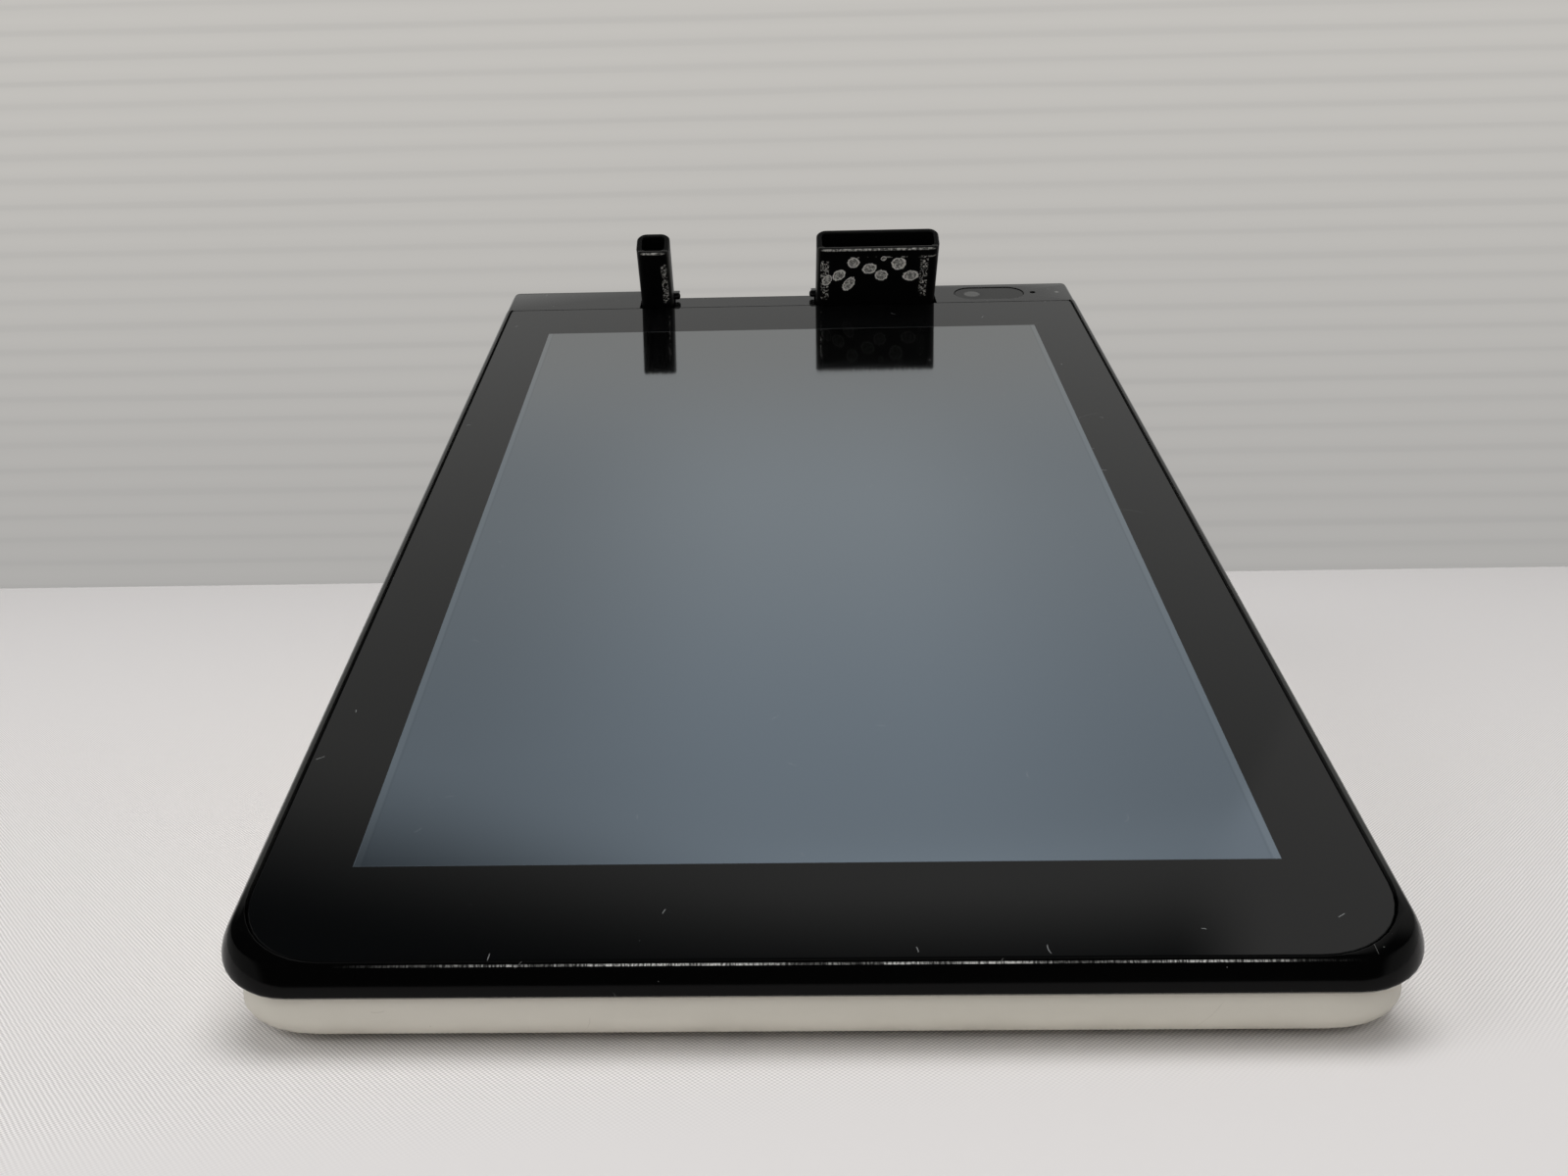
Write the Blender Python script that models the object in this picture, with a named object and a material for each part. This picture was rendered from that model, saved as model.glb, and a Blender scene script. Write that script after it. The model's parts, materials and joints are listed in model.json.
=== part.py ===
# Two sided counter payment terminal. The seller's tall touch screen lies back on a wedge housing, and the
# rear half holds the customer's screen, the card slot and a receipt printer under a hinged paper cover.
# Metres. +Z is up, +Y points away from the seller, +X to the seller's right.
# The origin is on the table, under the middle of the object.
import math

import bmesh
import bpy
from mathutils import Matrix, Vector

mm = 0.001

# Clearances
seam = 0.3 * mm
overrun = 2.0 * mm
quarter = math.pi / 2
corner_steps = 6
rim_steps = 10
round_steps = 24

# Seller's glass, measured in its own plane from the middle of the display
screen_tilt = math.radians(24.5)
glass_half = 56.4 * mm
glass_near = -88.4 * mm
glass_far = 88.65 * mm
glass_thickness = 1.1 * mm
glass_corner = 9.6 * mm
glass_far_corner = 0.9 * mm
glass_chamfer = 0.2 * mm

# Rim and strip round it
rim_reach = 1.95 * mm
rim_front_reach = 2.444 * mm
rim_depth = 2.95 * mm
rim_crown_width = 2.2 * mm
rim_crown_power = 1.5
side_crown_share = 0.6
far_crown_share = 0.7
rim_crown_depth = 2.1 * mm
rim_lip = 0.2 * mm
rim_tuck = 0.5 * mm
rim_tuck_height = 0.7 * mm
rim_corner = 8.4 * mm
rim_far_corner = 2.2 * mm
strip_length = 9.75 * mm
strip_thickness = 1.6 * mm
notch_margin = 0.8 * mm
notch_depth = 4.75 * mm

# Hollow posts on the strip
post_lean = math.radians(20.0)
post_length = 13.4 * mm
post_depth = 6.5 * mm
post_wall = 1.0 * mm
post_corner = 1.9 * mm
post_floor = 1.2 * mm
post_edge = 0.25 * mm
post_front = 0.45 * mm
narrow_post_inset = 26.3 * mm
narrow_post_width = 6.5 * mm
wide_post_gap = 4.5 * mm
wide_post_width = 24.0 * mm
lug_radius = 0.7 * mm
lug_length = 1.3 * mm
lug_height = 1.0 * mm
lug_setback = 3.8 * mm

# Camera in the strip, measured in from the glass's right edge
window_inset = 15.5 * mm
window_setback = 5.0 * mm
window_length = 14.0 * mm
window_width = 7.0 * mm
window_sink = 0.25 * mm
lens_inset = 19.0 * mm
lens_setback = 4.2 * mm
lens_radius = 1.6 * mm
camera_width = 7.0 * mm
camera_depth = 6.2 * mm
camera_height = 4.0 * mm
mic_inset = 6.6 * mm
mic_radius = 0.6 * mm

# Seller's display and what carries it, measured in from the glass's edges
lcd_side = 6.6 * mm
lcd_front = 8.4 * mm
lcd_rear = 9.65 * mm
lcd_thickness = 2.1 * mm
lcd_corner = 1.5 * mm
chassis_side = 2.8 * mm
chassis_front = 5.4 * mm
chassis_rear = 5.65 * mm
chassis_thickness = 1.0 * mm
chassis_corner = 7.0 * mm
chassis_slot_width = 16.0 * mm
chassis_slot_length = 60.0 * mm
chassis_slot_inset = 10.5 * mm
chassis_slot_y = -30.0 * mm
stud_radius = 2.0 * mm
stud_length = 4.0 * mm
stud_inset = 5.0 * mm
board_side = 11.4 * mm
board_rear = 14.65 * mm
board_length = 102.0 * mm
board_thickness = 1.6 * mm
board_corner = 3.0 * mm
can_height = 2.0 * mm
can_corner = 1.5 * mm
large_can = 34.0 * mm
small_can = 24.0 * mm
can_gap = 9.0 * mm
large_can_y = 36.0 * mm

# Wedge housing
foot_height = 1.2 * mm
housing_inset = 0.55 * mm
housing_setback = 0.697 * mm
front_wall_height = 4.53 * mm
deck_drop = 3.82 * mm
rear_run = 20.0 * mm
front_corner = 10.0 * mm
rear_corner = 10.0 * mm
base_fillet = 2.4 * mm
deck_fillet = 4.0 * mm
housing_wall = 2.4 * mm
base_lip = 7.0 * mm
lip_thickness = 2.6 * mm

# Base plate, screws and feet
plate_thickness = 2.0 * mm
plate_chamfer = 0.3 * mm
screw_inset_x = 9.0 * mm
screw_inset_y = 9.0 * mm
screw_head_radius = 2.6 * mm
screw_head_height = 1.1 * mm
screw_shank_radius = 1.25 * mm
screw_length = 6.0 * mm
screw_sink = 0.3 * mm
boss_half = 5.0 * mm
boss_height = 5.4 * mm
foot_radius = 5.5 * mm
foot_sink = 0.7 * mm
foot_edge = 0.4 * mm
foot_inset = 17.0 * mm
vent_count = 7
vent_length = 26.0 * mm
vent_width = 1.6 * mm
vent_pitch = 4.2 * mm
vent_y = 52.0 * mm
dock_half = 12.0 * mm
dock_depth = 7.0 * mm
dock_flange = 2.0 * mm
dock_flange_height = 1.0 * mm
dock_recess = 0.5 * mm
dock_y = -6.0 * mm

# Battery and speaker
battery_half = 36.0 * mm
battery_gap = 1.5 * mm
battery_length = 58.0 * mm
battery_height = 16.0 * mm
battery_corner = 5.0 * mm
speaker_y = 62.0 * mm
speaker_z = 22.0 * mm
speaker_length = 26.0 * mm
speaker_height = 14.0 * mm
speaker_depth = 5.0 * mm
speaker_corner = 3.0 * mm
slot_count = 7
slot_width = 1.4 * mm
slot_height = 10.0 * mm
slot_pitch = 3.2 * mm

# Buttons and socket in the side walls
power_inset = 22.65 * mm
power_drop = 9.8 * mm
power_length = 13.0 * mm
button_spacing = 32.0 * mm
rocker_length = 24.0 * mm
button_width = 4.4 * mm
button_proud = 0.35 * mm
button_flange = 1.0 * mm
button_flange_depth = 0.6 * mm
button_edge = 0.3 * mm
switch_gap = 0.9 * mm
switch_radius = 1.3 * mm
switch_height = 1.6 * mm
side_board_thickness = 1.2 * mm
side_board_width = 9.0 * mm
side_board_margin = 4.0 * mm
usb_inset = 44.0 * mm
usb_z = 13.0 * mm
usb_width = 8.2 * mm
usb_height = 3.2 * mm
usb_depth = 6.0 * mm
usb_shell = 0.4 * mm
usb_corner = 0.8 * mm
usb_tongue = 0.7 * mm
usb_tongue_width = 5.6 * mm
usb_tongue_setback = 1.2 * mm
usb_floor = 1.2 * mm

# Customer's screen on the rear face, fitted between the deck and the card slot
customer_side = 3.8 * mm
customer_above = 6.1 * mm
customer_below = 5.1 * mm
customer_corner = 5.5 * mm
customer_rim = 1.7 * mm
customer_rim_depth = 1.5 * mm
customer_proud = 0.2 * mm
customer_edge = 0.5 * mm
customer_glass_thickness = 1.1 * mm
customer_lcd_side = 4.0 * mm
customer_lcd_inset = 3.5 * mm
customer_lcd_thickness = 3.0 * mm
customer_board_side = 14.0 * mm
customer_board_lift = 3.5 * mm
customer_board_height = 24.0 * mm
customer_board_thickness = 1.4 * mm

# Card slot and reader
reader_side = 3.4 * mm
reader_length = 42.0 * mm
reader_height = 7.2 * mm
reader_corner = 2.0 * mm
card_half = 27.6 * mm
card_gap = 1.6 * mm
card_lift = 3.0 * mm
card_floor = 5.0 * mm
surround_side = 3.9 * mm
surround_height = 6.2 * mm
surround_corner = 2.0 * mm
surround_depth = 3.0 * mm
surround_proud = 0.25 * mm
surround_mouth = 2.6 * mm

# Paper bay and printer, one behind the other from the strip's far end, as wide as the paper roll asks
bay_setback = 6.6 * mm
paper_exit = 1.8 * mm
bucket_lead = 3.2 * mm
hinge_inset = 2.1 * mm
rear_land = 4.95 * mm
cover_thickness = 1.8 * mm
cover_side = 2.9 * mm
cover_edge = 0.3 * mm
cover_rib = 1.2 * mm
cover_rib_height = 2.4 * mm
bay_clearance = 0.4 * mm
bay_corner = 1.2 * mm
barrel_gap = 0.35 * mm
pin_radius = 0.75 * mm
pin_fit = 0.15 * mm
lug_plate = 3.4 * mm
lug_plate_depth = 3.6 * mm
bucket_radius = 20.0 * mm
bucket_wall = 1.6 * mm
bucket_drop = 23.0 * mm
bucket_head_gap = 1.0 * mm
bucket_side = 3.7 * mm

roll_radius = 16.0 * mm
roll_half = 28.5 * mm
core_radius = 6.0 * mm
core_wall = 1.4 * mm
core_fit = 0.2 * mm
platen_radius = 4.0 * mm
platen_gap = 0.8 * mm
platen_side = 0.1 * mm
platen_bore = 1.6 * mm
shaft_radius = 1.3 * mm
arm_radius = 2.8 * mm
arm_inset = 0.2 * mm
arm_fit = 0.2 * mm
arm_thickness = 1.5 * mm
head_side = 0.5 * mm
head_below = 6.6 * mm
head_above = 3.2 * mm
head_plate = 1.0 * mm
head_sink = 2.2 * mm
head_sink_inset = 2.0 * mm
head_bead = 0.2 * mm
head_bead_height = 0.8 * mm
bracket_thickness = 1.2 * mm
bracket_side = 2.5 * mm
bracket_gap = 0.4 * mm
bracket_height = 19.2 * mm
tear_thickness = 0.7 * mm
tear_side = 0.9 * mm
tear_rise = 0.5 * mm
tear_tooth = 0.8 * mm
tear_teeth = 36
release_lead = 7.0 * mm
release_length = 20.0 * mm
release_width = 9.0 * mm
release_proud = 0.5 * mm
release_flange = 1.0 * mm

# Places that follow from the sizes above
cos_tilt = math.cos(screen_tilt)
sin_tilt = math.sin(screen_tilt)
rim_half = glass_half + rim_reach
rim_near = glass_near - rim_front_reach
window_x = glass_half - window_inset
lens_x = glass_half - lens_inset
mic_x = glass_half - mic_inset
narrow_post_left = narrow_post_inset - glass_half
wide_post_left = window_x - window_length / 2 - wide_post_gap - wide_post_width
notch_left = narrow_post_left + narrow_post_width + notch_margin
notch_right = wide_post_left - notch_margin
lcd_half = glass_half - lcd_side
lcd_near = glass_near + lcd_front
lcd_far = glass_far - lcd_rear
chassis_half = glass_half - chassis_side
chassis_near = glass_near + chassis_front
chassis_far = glass_far - chassis_rear
board_half = glass_half - board_side
board_far = glass_far - board_rear
board_near = board_far - board_length
stud_x = board_half - stud_inset
chassis_slot_x = stud_x - chassis_slot_inset
housing_half = rim_half - housing_inset
strip_near = glass_far + seam
strip_far = strip_near + strip_length
strip_bottom = -strip_thickness
deck_top = strip_bottom - seam
parting = -rim_depth - seam
base_z = foot_height
shell_reach = (rim_near + rim_tuck) * cos_tilt + rim_depth * sin_tilt + housing_setback
screen_z = base_z + front_wall_height - shell_reach * math.tan(screen_tilt) - parting / cos_tilt
deck_height = screen_z + strip_far * sin_tilt - deck_drop
roof_z = deck_height - housing_wall
hinge_z = deck_height - cover_thickness
barrel_radius = cover_thickness
bay_front_reach = strip_far * cos_tilt + bay_setback
cover_front_reach = bay_front_reach + seam + tear_thickness + paper_exit
platen_reach = cover_front_reach + arm_inset + arm_radius
bucket_centre_reach = platen_reach - bucket_lead + bucket_radius
hinge_reach = bucket_centre_reach + bucket_radius - hinge_inset
rear_top_reach = hinge_reach + barrel_radius + barrel_gap + rear_land
rear_reach = rear_top_reach + rear_run
rear_slope = rear_run / (deck_height - base_z)
lean = math.atan(rear_slope)
# Insets and heights up the rim's rounded outer side, from its widest line to its lip
rim_crown = [
    (
        rim_crown_width * (1 - math.cos(angle) ** rim_crown_power),
        (rim_crown_depth + rim_lip) * math.sin(angle) ** rim_crown_power - rim_crown_depth,
    )
    for angle in (quarter * step / rim_steps for step in range(rim_steps + 1))
]
front_end = rim_near * cos_tilt + min(inset * cos_tilt - height * sin_tilt for inset, height in rim_crown)
rear_end = rear_reach - base_fillet * (1 + rear_slope - math.hypot(1, rear_slope))
screen_y = -(rear_end + front_end) / 2
shell_front = screen_y + shell_reach
rear_base = screen_y + rear_reach
rear_top = screen_y + rear_top_reach
plate_top = base_z + plate_thickness
inside_floor = plate_top + seam
lip_top = base_z + lip_thickness
reader_low = lip_top + seam
slot_z = reader_low + card_lift + card_gap / 2
side_inner = housing_half - housing_wall
glass_bottom = -glass_thickness
ledge_top = glass_bottom - seam
lcd_top = ledge_top
lcd_bottom = lcd_top - lcd_thickness
chassis_top = lcd_bottom - seam
chassis_bottom = chassis_top - chassis_thickness
board_top = chassis_bottom - stud_length - seam
board_bottom = board_top - board_thickness
power_x = glass_far - power_inset
rocker_x = power_x - button_spacing
usb_y = screen_y + rear_reach - usb_inset
hinge_y = screen_y + hinge_reach
bay_front = screen_y + bay_front_reach
bay_rear = hinge_y + barrel_radius + barrel_gap
platen_y = screen_y + platen_reach
platen_z = hinge_z - platen_radius - platen_gap
bucket_y = screen_y + bucket_centre_reach
bucket_centre_z = deck_height - bucket_drop
bucket_front_top = platen_z - head_below - bucket_head_gap
bucket_rear_top = hinge_z - lug_plate_depth - seam
bucket_half = roll_half + bucket_side
cover_half = roll_half + cover_side
platen_half = roll_half + platen_side
shaft_half = cover_half - seam
head_half = roll_half + head_side
head_sink_half = head_half - head_sink_inset
bracket_half = roll_half + bracket_side
bracket_top = roof_z - bracket_gap
bracket_low = bracket_top - bracket_height
tear_half = roll_half + tear_side
tear_tip = deck_height + tear_rise
tear_root = tear_tip - tear_tooth
release_x = (cover_half + bay_clearance + housing_half) / 2
release_y = bucket_y - release_lead
slot_up = (slot_z - (base_z + deck_height) / 2) / math.cos(lean)
reader_half = card_half + reader_side
surround_half = card_half + surround_side
customer_half = housing_half - customer_side
customer_low = slot_up + surround_height / 2 + customer_below
customer_high = (deck_height - base_z) / 2 / math.cos(lean) - customer_above
customer_lcd_half = customer_half - customer_lcd_side
customer_lcd_low = customer_low + customer_lcd_inset
customer_lcd_high = customer_high - customer_lcd_inset
customer_board_half = customer_lcd_half - customer_board_side
customer_board_low = customer_lcd_low + customer_board_lift
customer_board_high = customer_board_low + customer_board_height


def clear_scene():
    for item in list(bpy.data.objects):
        bpy.data.objects.remove(item, do_unlink=True)


def finish(name, colour, roughness, metallic=0.0, coat=0.0):
    material = bpy.data.materials.new(name)
    material.use_nodes = True
    shader = material.node_tree.nodes["Principled BSDF"]
    shader.inputs["Base Color"].default_value = (*colour, 1.0)
    shader.inputs["Roughness"].default_value = roughness
    shader.inputs["Metallic"].default_value = metallic
    shader.inputs["Coat Weight"].default_value = coat
    return material


def rounded(half_width, front, rear, front_radius, rear_radius=None, steps=corner_steps):
    """Closed outline of a rounded rectangle, counter-clockwise from its rear right corner."""
    far_radius = front_radius if rear_radius is None else rear_radius
    corners = (
        (half_width - far_radius, rear - far_radius, far_radius),
        (-half_width + far_radius, rear - far_radius, far_radius),
        (-half_width + front_radius, front + front_radius, front_radius),
        (half_width - front_radius, front + front_radius, front_radius),
    )
    points = []
    for start, (middle_x, middle_y, radius) in enumerate(corners):
        for step in range(steps + 1):
            angle = quarter * (start + step / steps)
            points.append((middle_x + radius * math.cos(angle), middle_y + radius * math.sin(angle)))
    return points


def pill(length, width, steps=corner_steps):
    """Outline of a slot with round ends, its length along X."""
    radius = width / 2
    reach = length / 2 - radius
    points = []
    for side in (1, -1):
        for step in range(2 * steps + 1):
            angle = quarter * (step / steps - side)
            points.append((side * reach + radius * math.cos(angle), radius * math.sin(angle)))
    return points


def upright(outline):
    """The outline turned a quarter round, so that its length runs along Y."""
    return [(-y, x) for x, y in outline]


def circle(radius, steps=round_steps):
    return [
        (radius * math.cos(2 * math.pi * step / steps), radius * math.sin(2 * math.pi * step / steps))
        for step in range(steps)
    ]


def skin(name, rings, loop=False):
    """Closed mesh through rings of points; with loop the last ring joins the first, as in a tube's wall."""
    shape = bmesh.new()
    rows = [[shape.verts.new(point) for point in ring] for ring in rings]
    pairs = list(zip(rows, rows[1:]))
    if loop:
        pairs.append((rows[-1], rows[0]))
    else:
        shape.faces.new(rows[0])
        shape.faces.new(rows[-1])
    for low, high in pairs:
        for here, start in enumerate(low):
            after = (here + 1) % len(low)
            shape.faces.new((start, low[after], high[after], high[here]))
    bmesh.ops.recalc_face_normals(shape, faces=shape.faces)
    mesh = bpy.data.meshes.new(name)
    shape.to_mesh(mesh)
    shape.free()
    return mesh


def along_z(points, height):
    return [(x, y, height) for x, y in points]


def along_x(points, place):
    return [(place, y, z) for y, z in points]


def slab(name, outline, low, high):
    return skin(name, [along_z(outline, low), along_z(outline, high)])


def block(name, low, high):
    """Plain box between two corners."""
    outline = [(low[0], low[1]), (high[0], low[1]), (high[0], high[1]), (low[0], high[1])]
    return slab(name, outline, low[2], high[2])


def bar(name, radius, left, right, steps=round_steps):
    """Round bar along X about the origin."""
    return skin(name, [along_x(circle(radius, steps), left), along_x(circle(radius, steps), right)])


def tube(name, radius, bore, left, right, steps=round_steps):
    """Round tube along X about the origin."""
    outer, inner = circle(radius, steps), circle(bore, steps)
    rings = [along_x(outer, left), along_x(outer, right), along_x(inner, right), along_x(inner, left)]
    return skin(name, rings, loop=True)


def eased(name, outline_at, low, high, edge):
    """Slab whose upper edge is eased: outline_at gives the outline drawn in by some amount."""
    rings = [
        along_z(outline_at(0), low),
        along_z(outline_at(0), high - edge),
        along_z(outline_at(edge), high),
    ]
    return skin(name, rings)


def place(name, mesh, material, parent=None, at=(0, 0, 0), smooth=True):
    item = bpy.data.objects.new(name, mesh)
    bpy.context.scene.collection.objects.link(item)
    item.location = at
    item.parent = parent
    if material:
        mesh.materials.append(material)
    if smooth:
        mesh.shade_smooth()
        mesh.set_sharp_from_angle(angle=smooth_angle)
    return item


def carrier(name, at, turn, parent=None):
    """Empty whose axes a group of pieces is drawn in."""
    item = bpy.data.objects.new(name, None)
    bpy.context.scene.collection.objects.link(item)
    item.location = at
    item.rotation_euler = turn
    item.parent = parent
    return item


def cutter(name, mesh, parent=None, at=(0, 0, 0)):
    item = place("cut_" + name, mesh, None, parent, at, smooth=False)
    item.hide_render = True
    item.display_type = "WIRE"
    return item


def combine(target, tool, operation="DIFFERENCE"):
    modifier = target.modifiers.new(tool.name, "BOOLEAN")
    modifier.operation = operation
    modifier.solver = "EXACT"
    modifier.object = tool


def rear_at(height):
    share = (height - base_z) / (deck_height - base_z)
    return rear_base + (rear_top - rear_base) * share


def housing_ring(inset, height):
    """Outline of the wedge housing at one height, drawn in by some amount."""
    outline = rounded(
        housing_half - inset,
        shell_front + inset,
        rear_at(height) - inset,
        front_corner - inset,
        rear_corner - inset,
    )
    return along_z(outline, height)


def rim_outline(inset):
    return rounded(
        rim_half - inset * side_crown_share,
        rim_near + inset,
        strip_far - inset * far_crown_share,
        rim_corner - inset,
        rim_far_corner - inset,
        rim_steps,
    )


def glass_outline(inset):
    return rounded(
        glass_half - inset, glass_near + inset, glass_far - inset, glass_corner - inset,
        glass_far_corner - inset, rim_steps,
    )


def post_outline(left, width, inset):
    points = rounded(width / 2 - inset, inset, post_depth - inset, post_corner - inset)
    return [(x + left + width / 2, y) for x, y in points]


def make_finishes():
    return {
        "ivory": finish("ivory_plastic", (0.62, 0.61, 0.57), 0.42),
        "black": finish("black_gloss_plastic", (0.01, 0.01, 0.011), 0.12, coat=0.5),
        "glass": finish("screen_glass", (0.02, 0.022, 0.024), 0.06, coat=1.0),
        "strip": finish("strip_gloss", (0.02, 0.02, 0.021), 0.1, coat=0.6),
        "post": finish("post_black", (0.008, 0.008, 0.008), 0.3),
        "lens": finish("lens_glass", (0.03, 0.03, 0.035), 0.05, coat=1.0),
        "dark": finish("dark_plastic", (0.03, 0.03, 0.032), 0.5),
        "steel": finish("sheet_steel", (0.55, 0.56, 0.58), 0.35, metallic=1.0),
        "board": finish("circuit_board", (0.02, 0.13, 0.06), 0.5),
        "panel": finish("display_panel", (0.09, 0.1, 0.12), 0.4),
        "rubber": finish("rubber", (0.03, 0.03, 0.03), 0.85),
        "paper": finish("thermal_paper", (0.85, 0.85, 0.82), 0.8),
        "cell": finish("battery_wrap", (0.05, 0.06, 0.09), 0.45),
        "ceramic": finish("head_ceramic", (0.7, 0.68, 0.62), 0.3),
        "core": finish("roll_core_plastic", (0.35, 0.36, 0.38), 0.6),
    }


def make_wedge_housing(looks, screen, rear_face, right_side):
    rows = []
    for step in range(corner_steps + 1):
        angle = quarter * step / corner_steps
        rows.append((base_fillet * (1 - math.sin(angle)), base_z + base_fillet * (1 - math.cos(angle))))
    for step in range(corner_steps + 1):
        angle = quarter * step / corner_steps
        rows.append((deck_fillet * (1 - math.cos(angle)), deck_height - deck_fillet * (1 - math.sin(angle))))
    rings = [housing_ring(inset, height) for inset, height in rows]
    housing = place("wedge_housing", skin("wedge_housing", rings), looks["ivory"])

    hollow = [housing_ring(housing_wall, lip_top), housing_ring(housing_wall, roof_z)]
    combine(housing, cutter("hollow", skin("hollow", hollow)))
    mouth = [housing_ring(base_lip, base_z - overrun), housing_ring(base_lip, lip_top + overrun)]
    combine(housing, cutter("base_mouth", skin("base_mouth", mouth)))

    for number, (x, y) in enumerate(screw_places(), 1):
        side = math.copysign(1, x)
        wall = side * (side_inner + housing_wall / 2)
        inner = x - side * boss_half
        low = (min(wall, inner), y - boss_half, plate_top + seam)
        high = (max(wall, inner), y + boss_half, base_z + plate_thickness + seam + boss_height)
        boss = cutter(f"boss_{number}", block("boss", low, high))
        combine(housing, boss, "UNION")
        bore = cutter(
            f"boss_bore_{number}",
            slab("bore", circle(screw_shank_radius + seam), base_z - overrun, high[2] + overrun),
            at=(x, y, 0),
        )
        combine(housing, bore)
    for side in (-1, 1):
        edge = side * (cover_half + bay_clearance)
        outer = edge + side * lug_plate
        low = (min(edge, outer), hinge_y - lug_plate_depth, hinge_z - lug_plate_depth)
        high = (max(edge, outer), bay_rear + housing_wall, roof_z + housing_wall / 2)
        combine(housing, cutter(f"hinge_lug_{side}", block("hinge_lug", low, high)), "UNION")

    upper = block(
        "upper",
        (-rim_half - overrun, rim_near - 2 * base_lip, parting),
        (rim_half + overrun, strip_far + 2 * base_lip, deck_height),
    )
    combine(housing, cutter("parting", upper, screen))
    combine(housing, cutter("camera_pocket", camera_pocket(), screen))

    bay = rounded(cover_half + bay_clearance, bay_front, bay_rear, bay_corner, bay_corner, 2)
    combine(housing, cutter("bay", slab("bay", bay, roof_z - overrun / 2, deck_height + overrun)))
    pin_reach = cover_half + bay_clearance + lug_plate + seam
    pin_hole = bar("pin_hole", pin_radius + pin_fit, -pin_reach, pin_reach, round_steps // 2)
    combine(housing, cutter("pin_hole", pin_hole, at=(0, hinge_y, hinge_z)))

    release = upright(pill(release_length + 2 * seam, release_width + 2 * seam))
    release = slab("release_hole", release, roof_z - overrun / 2, deck_height + overrun)
    combine(housing, cutter("release_hole", release, at=(release_x, release_y, 0)))

    recess = customer_outline(-seam)
    combine(housing, cutter("recess", slab("recess", recess, -customer_rim_depth - seam, overrun), rear_face))
    window = rounded(
        customer_lcd_half + seam, customer_lcd_low - seam, customer_lcd_high + seam, can_corner
    )
    deep = -housing_wall - overrun
    combine(housing, cutter("window", slab("window", window, deep, overrun), rear_face))
    slot = rounded(surround_half + seam, -seam - surround_height / 2, surround_height / 2 + seam,
                   surround_corner + seam)
    slot = slab("card_hole", slot, deep, overrun)
    combine(housing, cutter("card_hole", slot, rear_face, (0, slot_up, 0)))

    for name, along, length in side_buttons():
        hole = slab(name, pill(length + 2 * seam, button_width + 2 * seam), -housing_wall - overrun, overrun)
        combine(housing, cutter(name + "_hole", hole, right_side, (along, 0, 0)))

    through = (-housing_half - overrun, -side_inner + overrun)
    usb = rounded(
        usb_width / 2 + seam, -seam - usb_height / 2, usb_height / 2 + seam, usb_corner + seam, None, 3
    )
    usb = skin("usb_hole", [along_x(usb, end) for end in through])
    combine(housing, cutter("usb_hole", usb, at=(0, usb_y, usb_z)))
    for number in range(slot_count):
        y = screen_y + speaker_y + (number - (slot_count - 1) / 2) * slot_pitch
        outline = upright(pill(slot_height, slot_width, 2))
        shape = skin("slot", [along_x(outline, end) for end in through])
        combine(housing, cutter(f"speaker_slot_{number + 1}", shape, at=(0, y, speaker_z)))
    return housing


def screw_places():
    x = housing_half - base_lip - seam - screw_inset_x + boss_half
    near = shell_front + base_lip + screw_inset_y + boss_half
    far = rear_base - base_lip - screw_inset_y - boss_half
    return [(-x, near), (x, near), (-x, far), (x, far)]


def foot_places():
    x = housing_half - base_lip - foot_inset
    near = shell_front + base_lip + foot_inset / 2
    far = rear_base - base_lip - foot_inset / 2
    return [(-x, near), (x, near), (-x, far), (x, far)]


def customer_outline(inset):
    return rounded(
        customer_half - inset, customer_low + inset, customer_high - inset, customer_corner - inset
    )




def side_buttons():
    return (("power_button", power_x, power_length), ("volume_rocker", rocker_x, rocker_length))


def camera_pocket():
    low = (
        lens_x - camera_width / 2 - seam,
        strip_near + lens_setback - camera_depth / 2 - seam - overrun,
        parting - camera_height - 2 * seam,
    )
    high = (
        lens_x + camera_width / 2 + seam,
        strip_near + lens_setback + camera_depth / 2 + seam,
        parting + overrun,
    )
    return block("camera_pocket", low, high)


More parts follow.
